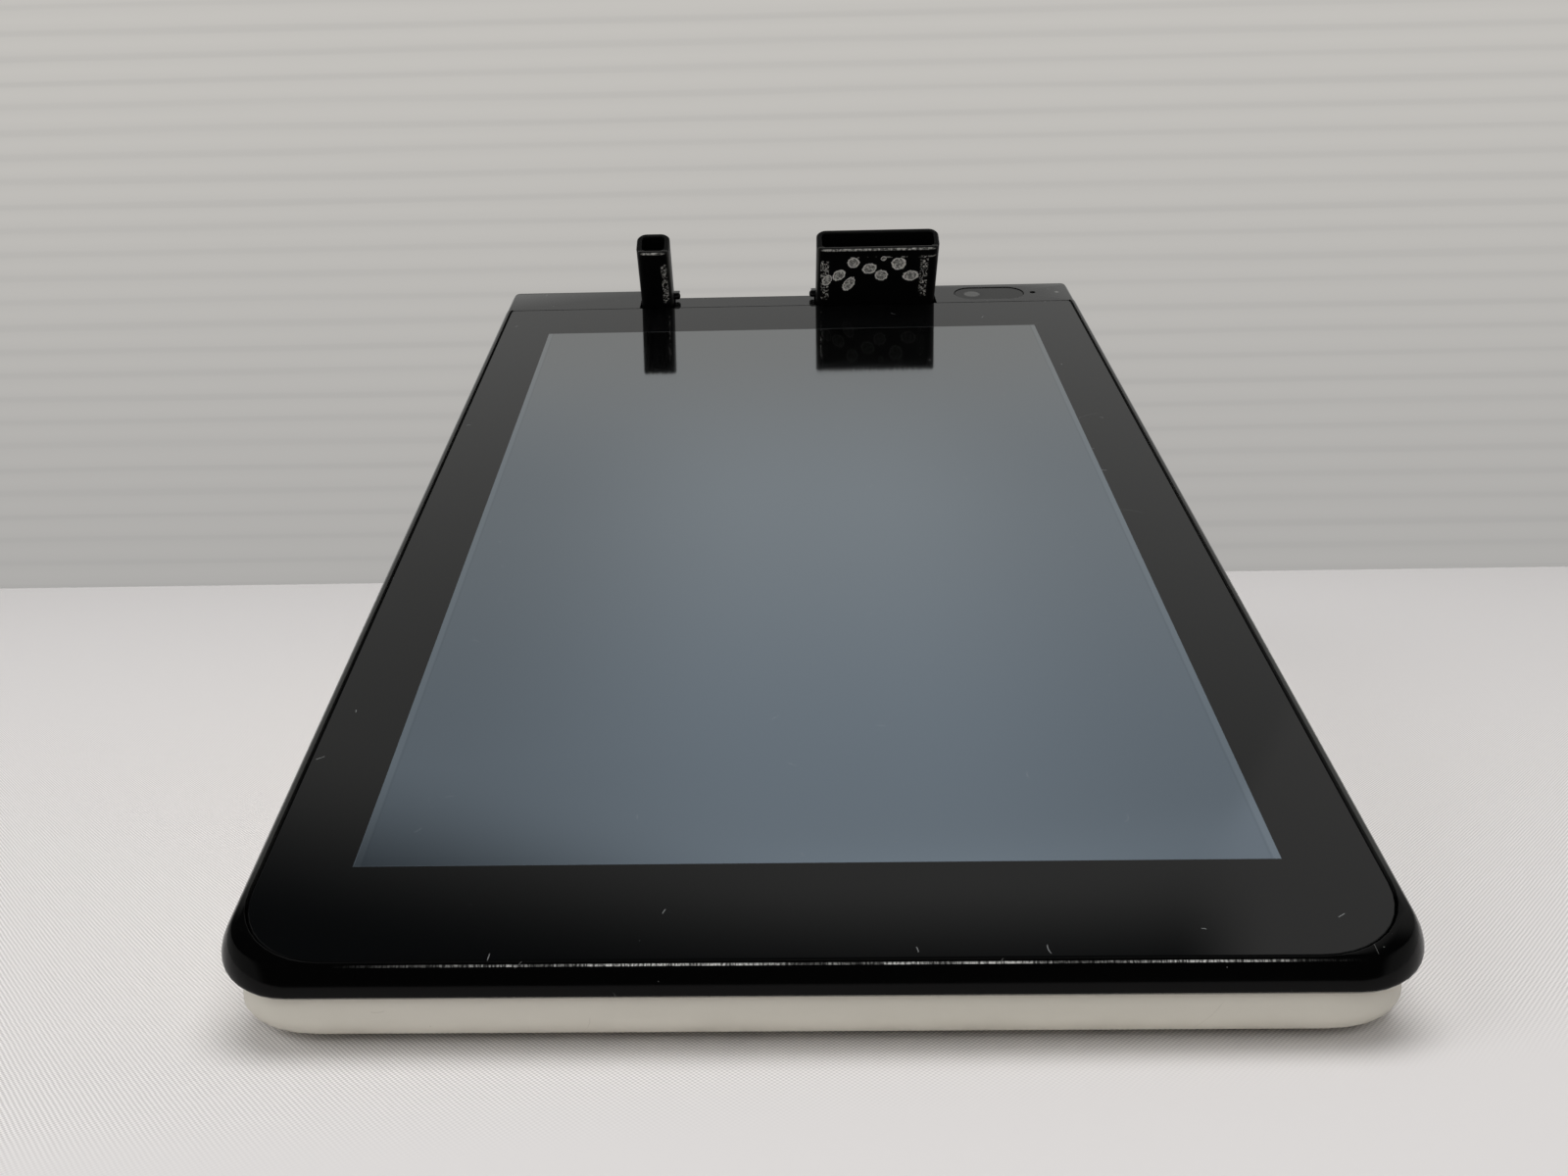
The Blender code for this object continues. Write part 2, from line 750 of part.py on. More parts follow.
def make_seller_screen(looks, screen):
    rows = [(rim_tuck, -rim_depth), (0, -rim_depth + rim_tuck_height)] + rim_crown
    rings = [along_z(rim_outline(inset), height) for inset, height in rows]
    frame = place("front_frame", skin("front_frame", rings), looks["black"], screen)
    pocket = slab("pocket", glass_outline(-seam), ledge_top, overrun)
    combine(frame, cutter("glass_pocket", pocket, screen))
    strip_zone = block(
        "strip_zone",
        (-rim_half - overrun, glass_far, deck_top),
        (rim_half + overrun, strip_far + overrun, overrun),
    )
    combine(frame, cutter("strip_zone", strip_zone, screen))
    window = rounded(lcd_half + seam, lcd_near - seam, lcd_far + seam, lcd_corner)
    combine(frame, cutter("lcd_window", slab("lcd_window", window, -rim_depth - overrun, overrun), screen))
    notch = block(
        "notch",
        (notch_left, strip_far - notch_depth, -rim_depth - overrun),
        (notch_right, strip_far + overrun, overrun),
    )
    notch = cutter("notch", notch, screen)
    combine(frame, notch)
    barrel = slab("lens_hole", circle(lens_radius + seam), -rim_depth - overrun, overrun)
    lens_at = (lens_x, strip_near + lens_setback, 0)
    combine(frame, cutter("lens_hole", barrel, screen, lens_at))

    glass = eased("touch_glass", glass_outline, glass_bottom, 0, glass_chamfer)
    place("touch_glass", glass, looks["glass"], screen)

    rows = [(inset, height - rim_lip) for inset, height in rim_crown]
    rows = [(inset, height) for inset, height in rows if height > strip_bottom]
    rings = [along_z(strip_outline(rows[0][0]), strip_bottom)]
    rings += [along_z(strip_outline(inset), height) for inset, height in rows]
    strip = place("top_strip", skin("top_strip", rings), looks["strip"], screen)
    combine(strip, notch)
    window_at = (window_x, strip_near + window_setback, 0)
    hole = slab("window_hole", pill(window_length + 2 * seam, window_width + 2 * seam), -overrun, overrun)
    combine(strip, cutter("window_hole", hole, screen, window_at))
    mic = slab("mic_hole", circle(mic_radius, round_steps // 2), -overrun, overrun)
    combine(strip, cutter("mic_hole", mic, screen, (mic_x, strip_near + window_setback, 0)))

    window = slab("camera_window", pill(window_length, window_width), strip_bottom, -window_sink)
    place("camera_window", window, looks["lens"], screen, window_at)
    body = block(
        "camera_module",
        (-camera_width / 2, -camera_depth / 2, parting - camera_height),
        (camera_width / 2, camera_depth / 2, parting),
    )
    camera = place("camera_module", body, looks["dark"], screen, lens_at, smooth=False)
    snout = slab("snout", circle(lens_radius), parting - camera_height / 2, deck_top)
    combine(camera, cutter("snout", snout, screen, lens_at), "UNION")
    return strip


def strip_outline(inset):
    return rounded(
        rim_half - inset * side_crown_share,
        strip_near,
        strip_far - inset * far_crown_share,
        glass_chamfer,
        rim_far_corner - inset,
        rim_steps,
    )


def make_posts(looks, screen, posts, strip):
    low = -post_depth
    base = block(
        "post_base",
        (-rim_half, glass_near, -rim_half),
        (rim_half, strip_far + rim_half, strip_bottom),
    )
    base = cutter("post_base", base, screen)
    sides = (
        ("narrow_post", narrow_post_left, narrow_post_width, 1),
        ("wide_post", wide_post_left, wide_post_width, -1),
    )
    for name, left, width, inner_side in sides:
        rings = [
            along_z(post_outline(left, width, 0), low),
            along_z(post_outline(left, width, 0), post_length - post_edge),
            along_z(post_outline(left, width, post_edge), post_length),
        ]
        post = place(name, skin(name, rings), looks["post"], posts)
        hollow = slab("hollow", post_outline(left, width, post_wall), post_floor, post_length + overrun)
        combine(post, cutter(name + "_hollow", hollow, posts))
        combine(post, base)
        wall = left + width if inner_side > 0 else left
        ends = sorted((wall - inner_side * post_wall / 2, wall + inner_side * lug_length))
        lug = bar("lug", lug_radius, ends[0], ends[1], round_steps // 2)
        rise = lug_height * math.cos(post_lean) - lug_setback * math.sin(post_lean)
        across = lug_height * math.sin(post_lean) + lug_setback * math.cos(post_lean)
        combine(post, cutter(name + "_lug", lug, posts, (0, across, rise)), "UNION")
        outline = post_outline(left, width, -seam)
        opened = [(x, y - post_depth if y < post_depth / 2 else y) for x, y in outline]
        hole = slab("hole", opened, low, post_depth)
        combine(strip, cutter(name + "_hole", hole, posts))


def make_display_stack(looks, screen):
    lcd = slab("lcd_panel", rounded(lcd_half, lcd_near, lcd_far, lcd_corner), lcd_bottom, lcd_top)
    place("lcd_panel", lcd, looks["panel"], screen, smooth=False)

    plate = slab(
        "screen_chassis",
        rounded(chassis_half, chassis_near, chassis_far, chassis_corner),
        chassis_bottom,
        chassis_top,
    )
    chassis = place("screen_chassis", plate, looks["steel"], screen)
    for side in (-1, 1):
        slot = upright(pill(chassis_slot_length, chassis_slot_width))
        slot = slab("slot", slot, chassis_bottom - overrun, chassis_top + overrun)
        slot_at = (side * chassis_slot_x, chassis_slot_y, 0)
        combine(chassis, cutter(f"chassis_slot_{side}", slot, screen, slot_at))
        for number, y in enumerate((board_near + stud_inset, board_far - stud_inset)):
            stud = slab("stud", circle(stud_radius, round_steps // 2), chassis_bottom - stud_length,
                        chassis_top - chassis_thickness / 2)
            stud = cutter(f"stud_{side}_{number}", stud, screen, (side * stud_x, y, 0))
            combine(chassis, stud, "UNION")

    board = rounded(board_half, board_near, board_far, board_corner)
    board = slab("main_board", board, board_bottom, board_top)
    place("main_board", board, looks["board"], screen, smooth=False)
    top = board_bottom - seam
    for name, size, x in (
        ("shield_can_1", large_can, -(large_can + can_gap) / 2),
        ("shield_can_2", small_can, (small_can + can_gap) / 2),
    ):
        can = slab(name, rounded(size / 2, -size / 2, size / 2, can_corner), top - can_height, top)
        place(name, can, looks["steel"], screen, (x, large_can_y, 0), smooth=False)


def make_base(looks):
    rings = [
        housing_ring(base_lip + seam + plate_chamfer, base_z),
        housing_ring(base_lip + seam, base_z + plate_chamfer),
        housing_ring(base_lip + seam, plate_top),
    ]
    plate = place("base_plate", skin("base_plate", rings), looks["dark"])
    for number, (x, y) in enumerate(screw_places(), 1):
        head_top = base_z + screw_sink + screw_head_height
        sink = slab("sink", circle(screw_head_radius + seam), base_z - overrun, head_top + seam)
        combine(plate, cutter(f"head_sink_{number}", sink, at=(x, y, 0)))
        bore = slab("bore", circle(screw_shank_radius + seam), base_z, plate_top + overrun)
        combine(plate, cutter(f"plate_bore_{number}", bore, at=(x, y, 0)))
        low = base_z + screw_sink
        head, shank = circle(screw_head_radius), circle(screw_shank_radius)
        rings = [
            along_z(head, low),
            along_z(head, head_top),
            along_z(shank, head_top),
            along_z(shank, low + screw_length),
        ]
        place(f"base_screw_{number}", skin("base_screw", rings), looks["steel"], at=(x, y, 0))
    for number, (x, y) in enumerate(foot_places(), 1):
        sink = slab("sink", circle(foot_radius + seam), base_z - overrun, base_z + foot_sink)
        combine(plate, cutter(f"foot_sink_{number}", sink, at=(x, y, 0)))
        rings = [
            along_z(circle(foot_radius - foot_edge), 0),
            along_z(circle(foot_radius), foot_edge),
            along_z(circle(foot_radius), base_z + foot_sink - seam),
        ]
        place(f"foot_{number}", skin("foot", rings), looks["rubber"], at=(x, y, 0))
    for number in range(vent_count):
        y = screen_y + vent_y + number * vent_pitch
        vent = slab("vent", pill(vent_length, vent_width, 2), base_z - overrun, plate_top + overrun)
        combine(plate, cutter(f"vent_{number + 1}", vent, at=(0, y, 0)))
    dock_at = (0, screen_y + dock_y, 0)
    hole = block(
        "dock_hole",
        (-dock_half - seam, -seam - dock_depth / 2, base_z - overrun),
        (dock_half + seam, dock_depth / 2 + seam, plate_top + overrun),
    )
    combine(plate, cutter("dock_hole", hole, at=dock_at))
    flange = plate_top + seam
    dock = block(
        "dock_contacts",
        (-dock_half, -dock_depth / 2, base_z + dock_recess),
        (dock_half, dock_depth / 2, flange),
    )
    dock = place("dock_contacts", dock, looks["dark"], at=dock_at, smooth=False)
    collar = block(
        "dock_collar",
        (-dock_half - dock_flange, -dock_flange - dock_depth / 2, flange),
        (dock_half + dock_flange, dock_depth / 2 + dock_flange, flange + dock_flange_height),
    )
    combine(dock, cutter("dock_collar", collar, at=dock_at), "UNION")

    battery = rounded(battery_half, 0, battery_length, battery_corner)
    battery = slab("battery_pack", battery, inside_floor, inside_floor + battery_height)
    battery_y = screen_y + dock_y + dock_depth / 2 + dock_flange + battery_gap
    place("battery_pack", battery, looks["cell"], at=(0, battery_y, 0))


def make_side_parts(looks, right_side):
    inner = -housing_wall
    for name, along, length in side_buttons():
        outline = pill(length, button_width)
        small = pill(length - 2 * button_edge, button_width - 2 * button_edge)
        wide = pill(length + 2 * button_flange, button_width + 2 * button_flange)
        back = inner - seam - button_flange_depth
        rings = [
            along_z(wide, back),
            along_z(wide, back + button_flange_depth),
            along_z(outline, back + button_flange_depth),
            along_z(outline, button_proud - button_edge),
            along_z(small, button_proud),
        ]
        place(name, skin(name, rings), looks["dark"], right_side, (along, 0, 0))
    back = inner - seam - button_flange_depth - switch_gap
    low = rocker_x - rocker_length / 2 - side_board_margin
    high = power_x + power_length / 2 + side_board_margin
    board = block(
        "side_button_board",
        (low, -side_board_width / 2, back - switch_height - side_board_thickness),
        (high, side_board_width / 2, back - switch_height),
    )
    board = place("side_button_board", board, looks["board"], right_side, smooth=False)
    spots = (power_x, rocker_x - rocker_length / 4, rocker_x + rocker_length / 4)
    for number, along in enumerate(spots):
        dome = slab("switch", circle(switch_radius, round_steps // 2),
                    back - switch_height - side_board_thickness / 2, back)
        combine(board, cutter(f"switch_{number}", dome, right_side, (along, 0, 0)), "UNION")

    outer = -housing_half + usb_shell
    shell = rounded(usb_width / 2, -usb_height / 2, usb_height / 2, usb_corner, None, 3)
    usb_at = (0, usb_y, usb_z)
    usb = skin("usb_socket", [along_x(shell, outer), along_x(shell, outer + usb_depth)])
    usb = place("usb_socket", usb, looks["steel"], at=usb_at)
    mouth = rounded(usb_width / 2 - usb_shell, usb_shell - usb_height / 2, usb_height / 2 - usb_shell,
                    usb_corner - usb_shell, None, 3)
    mouth = skin("mouth", [along_x(mouth, outer - overrun), along_x(mouth, outer + usb_depth - usb_floor)])
    combine(usb, cutter("usb_mouth", mouth, at=usb_at))
    tongue = block(
        "tongue",
        (outer + usb_tongue_setback, -usb_tongue_width / 2, -usb_tongue / 2),
        (outer + usb_depth - usb_floor / 2, usb_tongue_width / 2, usb_tongue / 2),
    )
    combine(usb, cutter("usb_tongue", tongue, at=usb_at), "UNION")

    half = speaker_length / 2
    body = rounded(half, -speaker_height / 2, speaker_height / 2, speaker_corner)
    start = -side_inner + seam
    body = skin("speaker", [along_x(body, start), along_x(body, start + speaker_depth)])
    place("speaker", body, looks["dark"], at=(0, screen_y + speaker_y, speaker_z))


def make_customer_screen(looks, rear_face):
    rings = [
        along_z(customer_outline(0), -customer_rim_depth),
        along_z(customer_outline(0), customer_proud - customer_edge),
        along_z(customer_outline(customer_edge), customer_proud),
        along_z(customer_outline(customer_rim), customer_proud),
        along_z(customer_outline(customer_rim), -customer_rim_depth),
    ]
    place("customer_frame", skin("customer_frame", rings, loop=True), looks["black"], rear_face)
    top = -customer_rim_depth + customer_glass_thickness
    glass = eased(
        "customer_glass",
        lambda inset: customer_outline(customer_rim + seam + inset),
        -customer_rim_depth,
        top,
        glass_chamfer,
    )
    place("customer_glass", glass, looks["glass"], rear_face)
    lcd_top_here = -customer_rim_depth - seam
    low = lcd_top_here - customer_lcd_thickness
    lcd = rounded(customer_lcd_half, customer_lcd_low, customer_lcd_high, lcd_corner)
    lcd = slab("customer_lcd", lcd, low, lcd_top_here)
    place("customer_lcd", lcd, looks["panel"], rear_face, smooth=False)
    board = rounded(customer_board_half, customer_board_low, customer_board_high, can_corner)
    board = slab("customer_board", board, low - seam - customer_board_thickness, low - seam)
    place("customer_board", board, looks["board"], rear_face, smooth=False)


def card_mouth(half, height, depth):
    """Outline of the card's way through the surround, at one depth of it."""
    return along_z(rounded(half, -height / 2, height / 2, card_gap / 4), depth)


def make_card_reader(looks, rear_face):
    inner_rear = rear_at(slot_z + reader_height) - housing_wall - overrun / 2
    front = inner_rear - reader_length
    body = rounded(reader_half, front, inner_rear, reader_corner, None, 3)
    body = slab("chip_reader", body, reader_low, reader_low + reader_height)
    reader = place("chip_reader", body, looks["dark"])
    slot = block(
        "card_path",
        (-card_half, front + card_floor, slot_z - card_gap / 2),
        (card_half, rear_base + overrun, slot_z + card_gap / 2),
    )
    path = cutter("card_path", slot)
    combine(reader, path)

    def outline(inset):
        reach = surround_height / 2 - inset
        return rounded(surround_half - inset, -reach, reach, surround_corner - inset)

    rings = [
        along_z(outline(0), -surround_depth),
        along_z(outline(0), surround_proud - customer_edge),
        along_z(outline(customer_edge), surround_proud),
    ]
    at = (0, slot_up, 0)
    surround = skin("card_slot_surround", rings)
    surround = place("card_slot_surround", surround, looks["black"], rear_face, at)
    combine(surround, path)
    mouth = [
        card_mouth(card_half, card_gap, -surround_depth / 2),
        card_mouth(card_half + customer_edge, surround_mouth, surround_proud + customer_edge),
    ]
    combine(surround, cutter("card_mouth", skin("card_mouth", mouth), rear_face, at))


def bucket_profile(radius, front_top, rear_top):
    """Side view of the paper bucket's wall: a half round trough with two upright sides."""
    points = [(radius, rear_top)]
    for step in range(round_steps // 2 + 1):
        angle = -2 * quarter * step / (round_steps // 2)
        points.append((radius * math.cos(angle), bucket_centre_z + radius * math.sin(angle)))
    points.append((-radius, front_top))
    return points


def make_paper_bay(looks):
    outer = bucket_profile(bucket_radius + bucket_wall, bucket_front_top, bucket_rear_top)
    inner = bucket_profile(bucket_radius, bucket_front_top + overrun, bucket_rear_top + overrun)
    reach = bucket_half + bucket_wall
    at = (0, bucket_y, 0)
    bucket = skin("paper_bucket", [along_x(outer, -reach), along_x(outer, reach)])
    bucket = place("paper_bucket", bucket, looks["dark"], at=at)
    trough = skin("trough", [along_x(inner, -bucket_half), along_x(inner, bucket_half)])
    combine(bucket, cutter("trough", trough, at=at))

    roll_at = (0, bucket_y, bucket_centre_z - bucket_radius + roll_radius + seam)
    roll = tube("paper_roll", roll_radius, core_radius, -roll_half, roll_half, 2 * round_steps)
    place("paper_roll", roll, looks["paper"], at=roll_at)
    outer_radius = core_radius - core_fit
    core = tube("roll_core", outer_radius, outer_radius - core_wall, -roll_half, roll_half)
    place("roll_core", core, looks["core"], at=roll_at)


def make_paper_cover(looks):
    top = cover_thickness
    front = screen_y + cover_front_reach - hinge_y
    rows = [(front, 0), (front, top - cover_edge), (front + cover_edge, top)]
    for step in range(round_steps // 2 + 1):
        angle = quarter * (1 - 2 * step / (round_steps // 2))
        rows.append((barrel_radius * math.cos(angle), barrel_radius * math.sin(angle)))
    rows.append((-barrel_radius, -barrel_radius + cover_edge))
    rows.append((-2 * barrel_radius, 0))
    plate = skin("paper_cover", [along_x(rows, -cover_half), along_x(rows, cover_half)])
    cover = place("paper_cover", plate, looks["ivory"], at=(0, hinge_y, hinge_z))
    past = cover_half + overrun
    bore = bar("cover_bore", pin_radius + pin_fit, -past, past, round_steps // 2)

    arm_y, arm_z = platen_y - hinge_y, platen_z - hinge_z
    for side in (-1, 1):
        outer = side * (cover_half - arm_inset)
        inner = outer - side * arm_thickness
        profile = [(arm_y + 2 * arm_radius, cover_edge), (arm_y - arm_radius, cover_edge)]
        for step in range(round_steps // 2 + 1):
            angle = 2 * quarter * (1 + step / (round_steps // 2))
            profile.append((arm_y + arm_radius * math.cos(angle), arm_z + arm_radius * math.sin(angle)))
        ends = sorted((inner, outer))
        arm = skin("arm", [along_x(profile, ends[0]), along_x(profile, ends[1])])
        combine(cover, cutter(f"arm_{side}", arm, at=(0, hinge_y, hinge_z)), "UNION")
        middle = inner + side * arm_inset
        rib = block(
            "rib",
            (min(middle, middle + side * cover_rib), arm_y + arm_radius, -cover_rib_height),
            (max(middle, middle + side * cover_rib), -2 * lug_plate_depth, cover_edge),
        )
        combine(cover, cutter(f"rib_{side}", rib, at=(0, hinge_y, hinge_z)), "UNION")
    combine(cover, cutter("cover_bore", bore, at=(0, hinge_y, hinge_z)))
    bearing = bar("bearing", shaft_radius + arm_fit, -past, past)
    combine(cover, cutter("bearing", bearing, at=(0, platen_y, platen_z)))

    reach = cover_half + bay_clearance + lug_plate - seam
    pin = bar("cover_hinge_pin", pin_radius, -reach, reach, round_steps // 2)
    place("cover_hinge_pin", pin, looks["steel"], at=(0, hinge_y, hinge_z))

    roller = tube("platen_roller", platen_radius, platen_bore, -platen_half, platen_half)
    place("platen_roller", roller, looks["rubber"], at=(0, platen_y, platen_z))
    shaft = bar("platen_shaft", shaft_radius, -shaft_half, shaft_half)
    place("platen_shaft", shaft, looks["steel"], at=(0, platen_y, platen_z))


def make_print_head(looks):
    # The head stands square to the line from the hinge to the platen, so that the platen swings past it.
    arm = Vector((0, platen_y - hinge_y, platen_z - hinge_z))
    drop = math.atan2(-arm.z, -arm.y)
    head = carrier("head_axes", (0, platen_y, platen_z), (drop, 0, 0))
    face = -platen_radius - seam
    back = face - head_bead - head_plate
    plate = block("print_head", (-head_half, back, -head_below), (head_half, face - head_bead, head_above))
    plate = place("print_head", plate, looks["ceramic"], head, smooth=False)
    bead = block(
        "bead",
        (-head_sink_half, back + head_plate / 2, -head_bead_height / 2),
        (head_sink_half, face, head_bead_height / 2),
    )
    combine(plate, cutter("bead", bead, head), "UNION")
    sink = block(
        "sink",
        (-head_sink_half, back - head_sink, -head_below / 2),
        (head_sink_half, back + head_plate / 2, head_above / 2),
    )
    combine(plate, cutter("sink", sink, head), "UNION")

    rear = platen_y + (back - head_sink) * math.cos(drop) - head_above / 2 * math.sin(drop) - seam
    front = rear - bracket_thickness
    foot_end = bucket_y - bucket_radius - bucket_wall - seam
    profile = [
        (front, bracket_low),
        (foot_end, bracket_low),
        (foot_end, bracket_low + bracket_thickness),
        (rear, bracket_low + bracket_thickness),
        (rear, bracket_top),
        (front, bracket_top),
    ]
    bracket = skin("printer_bracket", [along_x(profile, -bracket_half), along_x(profile, bracket_half)])
    place("printer_bracket", bracket, looks["steel"], smooth=False)

    # Serrated strip on the bay's front edge, where the receipt is torn off.
    near = bay_front + seam
    pitch = 2 * tear_half / tear_teeth
    outline = [(-tear_half, roof_z), (tear_half, roof_z)]
    for tooth in range(tear_teeth):
        right = tear_half - tooth * pitch
        outline.append((right, tear_root))
        outline.append((right - pitch / 2, tear_tip))
    outline.append((-tear_half, tear_root))
    rings = [[(x, y, z) for x, z in outline] for y in (near, near + tear_thickness)]
    place("tear_bar", skin("tear_bar", rings), looks["steel"], smooth=False)


def make_release_button(looks):
    at = (release_x, release_y, 0)
    outline = upright(pill(release_length, release_width))
    small = upright(pill(release_length - 2 * button_edge, release_width - 2 * button_edge))
    wide = upright(pill(release_length + 2 * release_flange, release_width + 2 * release_flange))
    top = deck_height + release_proud
    low = roof_z - seam - button_flange_depth
    rings = [
        along_z(wide, low),
        along_z(wide, low + button_flange_depth),
        along_z(outline, low + button_flange_depth),
        along_z(outline, top - button_edge),
        along_z(small, top),
    ]
    place("release_button", skin("release_button", rings), looks["dark"], at=at)


smooth_angle = math.radians(35)


def main():
    clear_scene()
    looks = make_finishes()
    screen = carrier("screen_axes", (0, screen_y, screen_z), (screen_tilt, 0, 0))
    posts = carrier("post_axes", (0, strip_near - seam + post_front, 0), (post_lean, 0, 0), screen)
    middle = (base_z + deck_height) / 2
    rear_face = carrier("rear_face_axes", (0, rear_at(middle), middle), (math.pi / 2 - lean, 0, math.pi))
    drop = (parting - power_drop) / cos_tilt
    right_side = carrier("right_side_axes", (housing_half, screen_y, screen_z + drop), (0, 0, 0))
    turn = Matrix(((0, 0, 1), (cos_tilt, -sin_tilt, 0), (sin_tilt, cos_tilt, 0)))
    right_side.rotation_euler = turn.to_euler()

    make_wedge_housing(looks, screen, rear_face, right_side)
    strip = make_seller_screen(looks, screen)
    make_posts(looks, screen, posts, strip)
    make_display_stack(looks, screen)
    make_base(looks)
    make_side_parts(looks, right_side)
    make_customer_screen(looks, rear_face)
    make_card_reader(looks, rear_face)
    make_paper_bay(looks)
    make_paper_cover(looks)
    make_print_head(looks)
    make_release_button(looks)


main()
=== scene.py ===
import json
import math
from functools import reduce

import bmesh
import bpy
from mathutils import Euler, Matrix, Vector

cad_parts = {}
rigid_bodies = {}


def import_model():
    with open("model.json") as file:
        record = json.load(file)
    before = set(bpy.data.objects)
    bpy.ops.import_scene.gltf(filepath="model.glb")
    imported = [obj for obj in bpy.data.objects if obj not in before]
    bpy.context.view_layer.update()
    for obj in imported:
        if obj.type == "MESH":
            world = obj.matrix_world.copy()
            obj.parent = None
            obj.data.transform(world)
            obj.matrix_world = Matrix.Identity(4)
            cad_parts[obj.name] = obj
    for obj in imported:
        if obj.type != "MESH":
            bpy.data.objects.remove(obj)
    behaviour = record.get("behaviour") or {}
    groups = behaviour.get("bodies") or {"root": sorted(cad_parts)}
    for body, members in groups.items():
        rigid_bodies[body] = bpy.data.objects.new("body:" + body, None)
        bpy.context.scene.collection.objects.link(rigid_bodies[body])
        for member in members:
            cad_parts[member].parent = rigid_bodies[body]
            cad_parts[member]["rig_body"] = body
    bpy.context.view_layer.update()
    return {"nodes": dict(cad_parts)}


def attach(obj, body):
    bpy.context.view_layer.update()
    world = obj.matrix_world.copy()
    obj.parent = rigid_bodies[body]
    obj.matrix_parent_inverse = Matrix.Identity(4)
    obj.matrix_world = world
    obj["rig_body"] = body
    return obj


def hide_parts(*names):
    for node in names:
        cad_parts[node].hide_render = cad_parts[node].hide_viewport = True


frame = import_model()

cadNodes = frame["nodes"]
mm = 0.001

# Where the tilted faces lie: the point each is drawn from, in metres, and its turn in degrees
screenPlace = {"origin": (0.0, -0.04084, 0.045891), "turn": (24.5, 0.0, 0.0)}
postPlace = {"origin": (0.0, 0.040238, 0.082841), "turn": (44.5, 0.0, 0.0)}
rearPlace = {"origin": (0.0, 0.113174, 0.042101), "turn": (76.261, 0.0, 180.0)}
plainPlace = {"origin": (0.0, 0.0, 0.0), "turn": (0.0, 0.0, 0.0)}


# One value on its way through a tree: sums written on it become Math nodes
class Flow:
    def __init__(self, wiring, socket):
        self.wiring = wiring
        self.socket = socket

    def __add__(self, other):
        return self.wiring.sum("ADD", self, other)

    def __radd__(self, other):
        return self.wiring.sum("ADD", other, self)

    def __sub__(self, other):
        return self.wiring.sum("SUBTRACT", self, other)

    def __rsub__(self, other):
        return self.wiring.sum("SUBTRACT", other, self)

    def __mul__(self, other):
        return self.wiring.sum("MULTIPLY", self, other)

    def __rmul__(self, other):
        return self.wiring.sum("MULTIPLY", other, self)

    def __truediv__(self, other):
        return self.wiring.sum("DIVIDE", self, other)

    def __rtruediv__(self, other):
        return self.wiring.sum("DIVIDE", other, self)

    def __abs__(self):
        return self.wiring.sum("ABSOLUTE", self, 0.0)

    def sine(self):
        return self.wiring.sum("SINE", self, 0.0)

    def cosine(self):
        return self.wiring.sum("COSINE", self, 0.0)

    def root(self):
        return self.wiring.sum("SQRT", self, 0.0)

    def most(self, other):
        return self.wiring.sum("MAXIMUM", self, other)

    def least(self, other):
        return self.wiring.sum("MINIMUM", self, other)

    # 0 below low and 1 above high, eased between
    def rise(self, low, high):
        values = {"Value": self, "From Min": low, "From Max": high}
        settings = {"interpolation_type": "SMOOTHSTEP"}
        return self.wiring.get("ShaderNodeMapRange", settings, values, "Result")

    # 1 up to full from the middle on both sides, 0 beyond gone
    def near(self, middle, full, gone):
        return 1 - abs(self - middle).rise(full, gone)

    # 1 between low and high, eased out over a soft margin
    def span(self, low, high, soft):
        return self.rise(low - soft, low) * (1 - self.rise(high, high + soft))


# Nodes of any kind of tree, with the values and links of their sockets
class Wiring:
    def add(self, kind, settings, values):
        node = self.tree.nodes.new(kind)
        for name, value in settings.items():
            setattr(node, name, value)
        for name, value in values.items():
            if isinstance(value, Flow):
                self.tree.links.new(value.socket, node.inputs[name])
            else:
                node.inputs[name].default_value = value
        return node

    def get(self, kind, settings, values, output):
        return Flow(self, self.add(kind, settings, values).outputs[output])

    def sum(self, operation, first, second):
        return self.get("ShaderNodeMath", {"operation": operation}, {0: first, 1: second}, 0)


